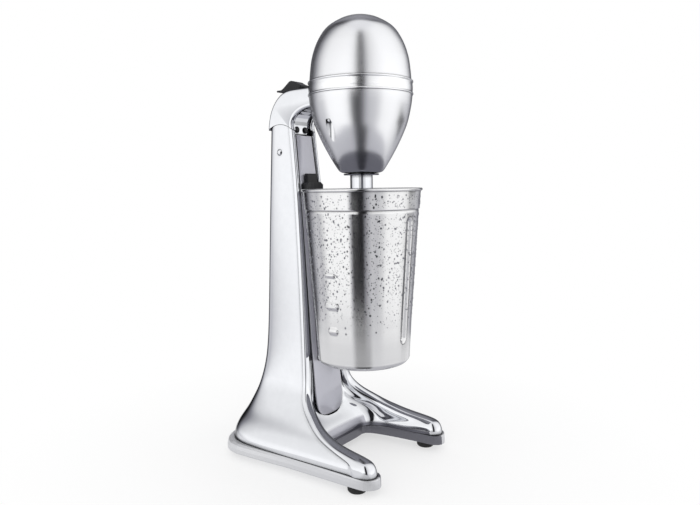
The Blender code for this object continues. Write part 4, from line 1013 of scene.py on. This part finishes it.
def add_drop(bm, shape, z, angle, size, tall):
    """One bead on the cup's wall, flattened against it and slightly longer up and down than across."""
    points, faces = shape
    r = cup_radius(z) - (wall_drop(z) if z < 216.0 else 0.0)
    r += pressing(math.degrees(angle), z, r) if z < 214.0 else 0.0
    centre = Vector((r * math.cos(angle), r * math.sin(angle), z))
    out = Vector((math.cos(angle), math.sin(angle), -0.07)).normalized()
    side = Vector((-math.sin(angle), math.cos(angle), 0.0))
    up = out.cross(side)
    spots = [centre + side * a * size + up * b * size * tall + out * c * size * 0.6 for a, b, c in points]
    verts = [bm.verts.new(spot * MM) for spot in spots]
    for face in faces:
        bm.faces.new([verts[i] for i in face])


def cup_droplets(mats):
    """Beads of condensation that thin out down the wall, a few of them running together."""
    rng = random.Random(11)
    shape = bead_shape()
    bm = bmesh.new()
    for _ in range(DROP_TRIES):
        z = rng.uniform(118.0, 229.0)
        angle = rng.uniform(-math.pi, math.pi)
        size = 0.24 + 0.55 * rng.random() ** 5
        if rng.random() > smoothstep(112.0, 160.0, z) or 214.6 < z < 218.6:
            continue
        add_drop(bm, shape, z, angle, size, 1.0 + 0.6 * rng.random())
    drops = from_bmesh("cup_condensation", bm)
    drops.data.shade_smooth()
    return finish_piece(drops, "cup", "brushed_steel", mats["water"])


# ---------------- CAD nodes that keep their shape


def each(name, places):
    return [f"{name}_{place}" for place in places]


SIDES = ("left", "right")
ENDS = ("front", "rear")
LEVELS = ("upper", "lower")
CORNERS = ("front_left", "front_right", "rear_left", "rear_right")
NODE_LOOKS = {
    "chrome": ["neck_liner", "hinge_pin", "nose_ring", "spindle_hub", *each("shell_screw", SIDES)],
    "steel": ["spindle_rod", *each("agitator_disc", LEVELS), "motor_shaft"],
    "skirt": ["base_pan"],
    "black": [
        "cup_guide", "cup_rest", *each("hinge_washer", SIDES), *each("liner_screw", SIDES), "switch_bezel",
        "switch_body", "rocker", "cooling_fan", *each("brush_holder", ENDS),
    ],
    "rubber": ["cord_grommet", "supply_cord", *each("foot", CORNERS)],
    "iron": ["stator_stack", "upper_bracket", "lower_bracket", "armature_core", *each("foot_screw", CORNERS)],
    "copper": [*each("field_coil", SIDES), *each("armature_winding", LEVELS), "commutator"],
    "bronze": ["upper_bearing", "lower_bearing"],
    "carbon": each("brush", ENDS),
}


def dress_nodes(mats):
    for look, names in NODE_LOOKS.items():
        for name in names:
            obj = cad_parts[name]
            obj.data.materials.clear()
            obj.data.materials.append(mats[look])
            smooth(obj, 32.0)


# ---------------- stage


def camera_axes():
    """The camera's right, up and forward directions."""
    azimuth = math.radians(CAMERA_AZIMUTH + CAMERA_YAW)
    pitch = math.radians(CAMERA_PITCH)
    roll = math.radians(CAMERA_ROLL)
    level = math.cos(pitch)
    forward = Vector((math.sin(azimuth) * level, math.cos(azimuth) * level, -math.sin(pitch)))
    right = forward.cross(Vector((0, 0, 1))).normalized()
    up = right.cross(forward)
    rolled_right = right * math.cos(roll) + up * math.sin(roll)
    rolled_up = up * math.cos(roll) - right * math.sin(roll)
    return rolled_right, rolled_up, forward


def camera_place():
    """The camera's place in the record's frame, in metres."""
    a = math.radians(CAMERA_AZIMUTH)
    place = Vector((-math.sin(a) * CAMERA_DISTANCE, -math.cos(a) * CAMERA_DISTANCE, CAMERA_HEIGHT))
    return place * MM + Vector((0.0, AXIS_Y, 0.0))


def add_camera():
    data = bpy.data.cameras.new("camera")
    data.lens = CAMERA_LENS
    data.sensor_width = 36.0
    data.clip_start = 0.01
    data.clip_end = 50.0
    camera = link("camera", data)
    right, up, forward = camera_axes()
    matrix = Matrix((right, up, -forward)).transposed().to_4x4()
    matrix.translation = camera_place()
    camera.matrix_world = matrix
    bpy.context.scene.camera = camera


TABLE_EDGE = 0.42

# Brightness of the studio by bearing: 0 looks to the camera, negative to the left of the picture.
LOW_STUDIO = (
    (-180, 0.45), (-165, 0.30), (-155, 0.03), (-139, 0.02), (-130, 0.16), (-120, 0.50), (-108, 0.75),
    (-97, 0.66), (-88, 0.90), (-78, 1.25), (-28, 1.30), (-24, 0.60), (-19, 0.02), (2, 0.02), (5, 0.22),
    (11, 0.52), (20, 0.74), (30, 0.68), (42, 0.86), (52, 1.20), (85, 1.25), (99, 1.05), (110, 0.90),
    (124, 0.70), (138, 0.60), (150, 0.40), (165, 0.45), (180, 0.45),
)
HIGH_STUDIO = (
    (-180, 0.42), (-165, 0.34), (-150, 0.10), (-140, 0.02), (-132, 0.07), (-118, 0.36), (-104, 0.90),
    (-88, 1.25), (-20, 1.45), (-10, 1.15), (-7, 0.02), (9, 0.02), (12, 0.70), (22, 1.10), (40, 1.30),
    (55, 1.45), (100, 1.40), (122, 1.20), (137, 0.70), (146, 0.12), (165, 0.30), (180, 0.42),
)
# A flag at one side below eye level, by bearing and by height from 0 straight down to 1 straight up. It makes
# the dark band on the cup's wall and shows only faintly in the bowl above.
FLAG_BEARINGS = ((-180, 1.0), (100, 1.0), (107, 0.16), (127, 0.16), (134, 1.0), (180, 1.0))
FLAG_HEIGHTS = ((0.0, 0.0), (0.325, 0.0), (0.345, 1.0), (0.43, 1.0), (0.45, 0.0), (1.0, 0.0))
# By height: where the high studio takes over, how it dims upwards, and the soft light overhead.
EYE_LEVEL = ((0.0, 0.0), (0.45, 0.0), (0.55, 1.0), (1.0, 1.0))
DIMMING = ((0.0, 1.0), (0.54, 1.0), (0.70, 0.88), (0.85, 0.86), (0.95, 0.80), (1.0, 0.8))
OVERHEAD = ((0.0, 0.0), (0.955, 0.0), (0.985, 1.0), (1.0, 1.0))


def cool(value):
    """Greys lean slightly to lilac; full light stays neutral."""
    lean = max(0.0, 1.0 - value) * 0.07
    return (value * (1.0 - lean), value * (1.0 - lean), value * (1.0 + lean))


def by_bearing(nodes, share, stops):
    """A colour ramp over a full turn, from stops at bearings."""
    return nodes.ramp(share, [(0.5 + bearing / 360.0, value) for bearing, value in stops])


def studio_ramp(nodes, share, stops):
    return by_bearing(nodes, share, [(bearing, cool(value)) for bearing, value in stops])


def turn_share(nodes, x, y):
    """A direction's bearing as a share of a full turn: 0.5 looks to the camera."""
    place = camera_place() - Vector((0.0, AXIS_Y, 0.0))
    away = math.atan2(place.y, place.x) - math.pi
    bearing = nodes.math("SUBTRACT", nodes.math("ARCTAN2", y, x), away)
    full = 2.0 * math.pi
    return nodes.math("DIVIDE", nodes.math("FLOORED_MODULO", bearing, full), full)


def studio_colour(nodes):
    """Wide soft boxes with dark gaps between them, different below and above eye level."""
    x, y, z = nodes.axes(nodes.add("ShaderNodeTexCoord").outputs["Generated"])
    share = turn_share(nodes, x, y)
    height = nodes.math("MULTIPLY_ADD", z, 0.5, 0.5)
    low = studio_ramp(nodes, share, LOW_STUDIO)
    high = studio_ramp(nodes, share, HIGH_STUDIO)
    walls = nodes.mix(nodes.ramp(height, EYE_LEVEL), low, high)
    flagged = nodes.times(walls, by_bearing(nodes, share, FLAG_BEARINGS))
    walls = nodes.mix(nodes.ramp(height, FLAG_HEIGHTS), walls, flagged)
    dimmed = nodes.times(walls, nodes.ramp(height, DIMMING))
    return nodes.mix(nodes.ramp(height, OVERHEAD), dimmed, (0.95, 0.95, 0.97))


def add_world():
    """A white backdrop to the camera, even light to plain surfaces, and the studio to reflections only."""
    world = bpy.data.worlds.new("studio")
    bpy.context.scene.world = world
    world.use_nodes = True
    world.node_tree.nodes.clear()
    nodes = Nodes(world.node_tree)
    studio = nodes.add("ShaderNodeBackground", Color=studio_colour(nodes), Strength=1.0).outputs[0]
    plain = nodes.add("ShaderNodeBackground", Color=WHITE, Strength=0.95).outputs[0]
    backdrop = nodes.add("ShaderNodeBackground", Color=WHITE, Strength=1.0).outputs[0]
    path = nodes.add("ShaderNodeLightPath").outputs
    light = nodes.mix_shader(path["Is Glossy Ray"], plain, studio)
    seen = nodes.mix_shader(path["Is Camera Ray"], light, backdrop)
    nodes.add("ShaderNodeOutputWorld", Surface=seen)


def painted_table_reflection(nodes, where, away):
    """A painted reflection of the table, as a glow for reflections: shaded towards the camera, and darker
    where they look steeply.
    """
    lit = nodes.ramp(away, [(0.0, 1.0), (0.09, 1.0), (0.12, 0.0), (1.0, 0.0)])
    shade = nodes.math("MAXIMUM", camera_strip(nodes, where, 0.0), lit)
    incoming = nodes.add("ShaderNodeNewGeometry").outputs["Incoming"]
    steep = nodes.ramp(nodes.axes(incoming)["Z"], [(0.0, 0.0), (0.36, 0.0), (0.55, 1.0), (1.0, 1.0)])
    gentle = nodes.mix(shade, (0.70, 0.70, 0.71), (0.95, 0.95, 0.96))
    sharp = nodes.mix(shade, (0.03, 0.03, 0.035), (0.60, 0.60, 0.64))
    return nodes.mix(steep, gentle, sharp)


def table_material():
    """Pale and matt, fading into the backdrop; reflections see a glow of painted shade on it, and nothing
    past its edge.
    """
    mat, nodes, shader, where = new_material("pale_table")
    nodes.fill(shader, Base_Color=(0.95, 0.95, 0.95), Roughness=0.6, Specular_IOR_Level=0.1)
    away = nodes.add("ShaderNodeVectorMath", operation="LENGTH", i0=where).outputs["Value"]
    fade = nodes.ramp(away, [(0.0, 0.55), (0.12, 0.6), (0.30, 1.0)])
    top = nodes.mix_shader(fade, shader.outputs[0], nodes.glow(WHITE))
    reflected = nodes.add("ShaderNodeLightPath").outputs["Is Glossy Ray"]
    # Painted reflection: glossy rays see a glow of painted shade instead of the lit table.
    top = nodes.mix_shader(reflected, top, nodes.glow(painted_table_reflection(nodes, where, away)))
    beyond = nodes.math("MULTIPLY", reflected, nodes.math("GREATER_THAN", away, TABLE_EDGE))
    nodes.show(nodes.mix_shader(beyond, top, nodes.add("ShaderNodeBsdfTransparent").outputs[0]))
    return mat


def add_floor():
    bm = bmesh.new()
    bmesh.ops.create_circle(bm, cap_ends=True, radius=12.0, segments=96)
    floor = from_bmesh("studio_floor", bm)
    floor.data.materials.append(table_material())


def add_light():
    """A large soft lamp, high and a little to the left, which makes the shadows but no highlight."""
    data = bpy.data.lights.new("key", "AREA")
    data.energy = 6.0
    data.size = 1.2
    lamp = link("key", data)
    lamp.location = (-1.4, -0.6, 1.5)
    lamp.visible_glossy = False
    lamp.rotation_euler = (Vector((0, 0, 0.2)) - lamp.location).to_track_quat("-Z", "Y").to_euler()


def main():
    mats = make_materials()
    dress_nodes(mats)
    stand_piece(mats)
    panel_piece(mats)
    dome_piece(mats)
    bowl_piece(mats)
    band_piece(mats)
    neck_piece(mats)
    cup_piece(mats)
    cup_droplets(mats)
    add_floor()
    add_world()
    add_light()
    add_camera()
    bpy.context.scene.view_settings.view_transform = "Standard"


main()
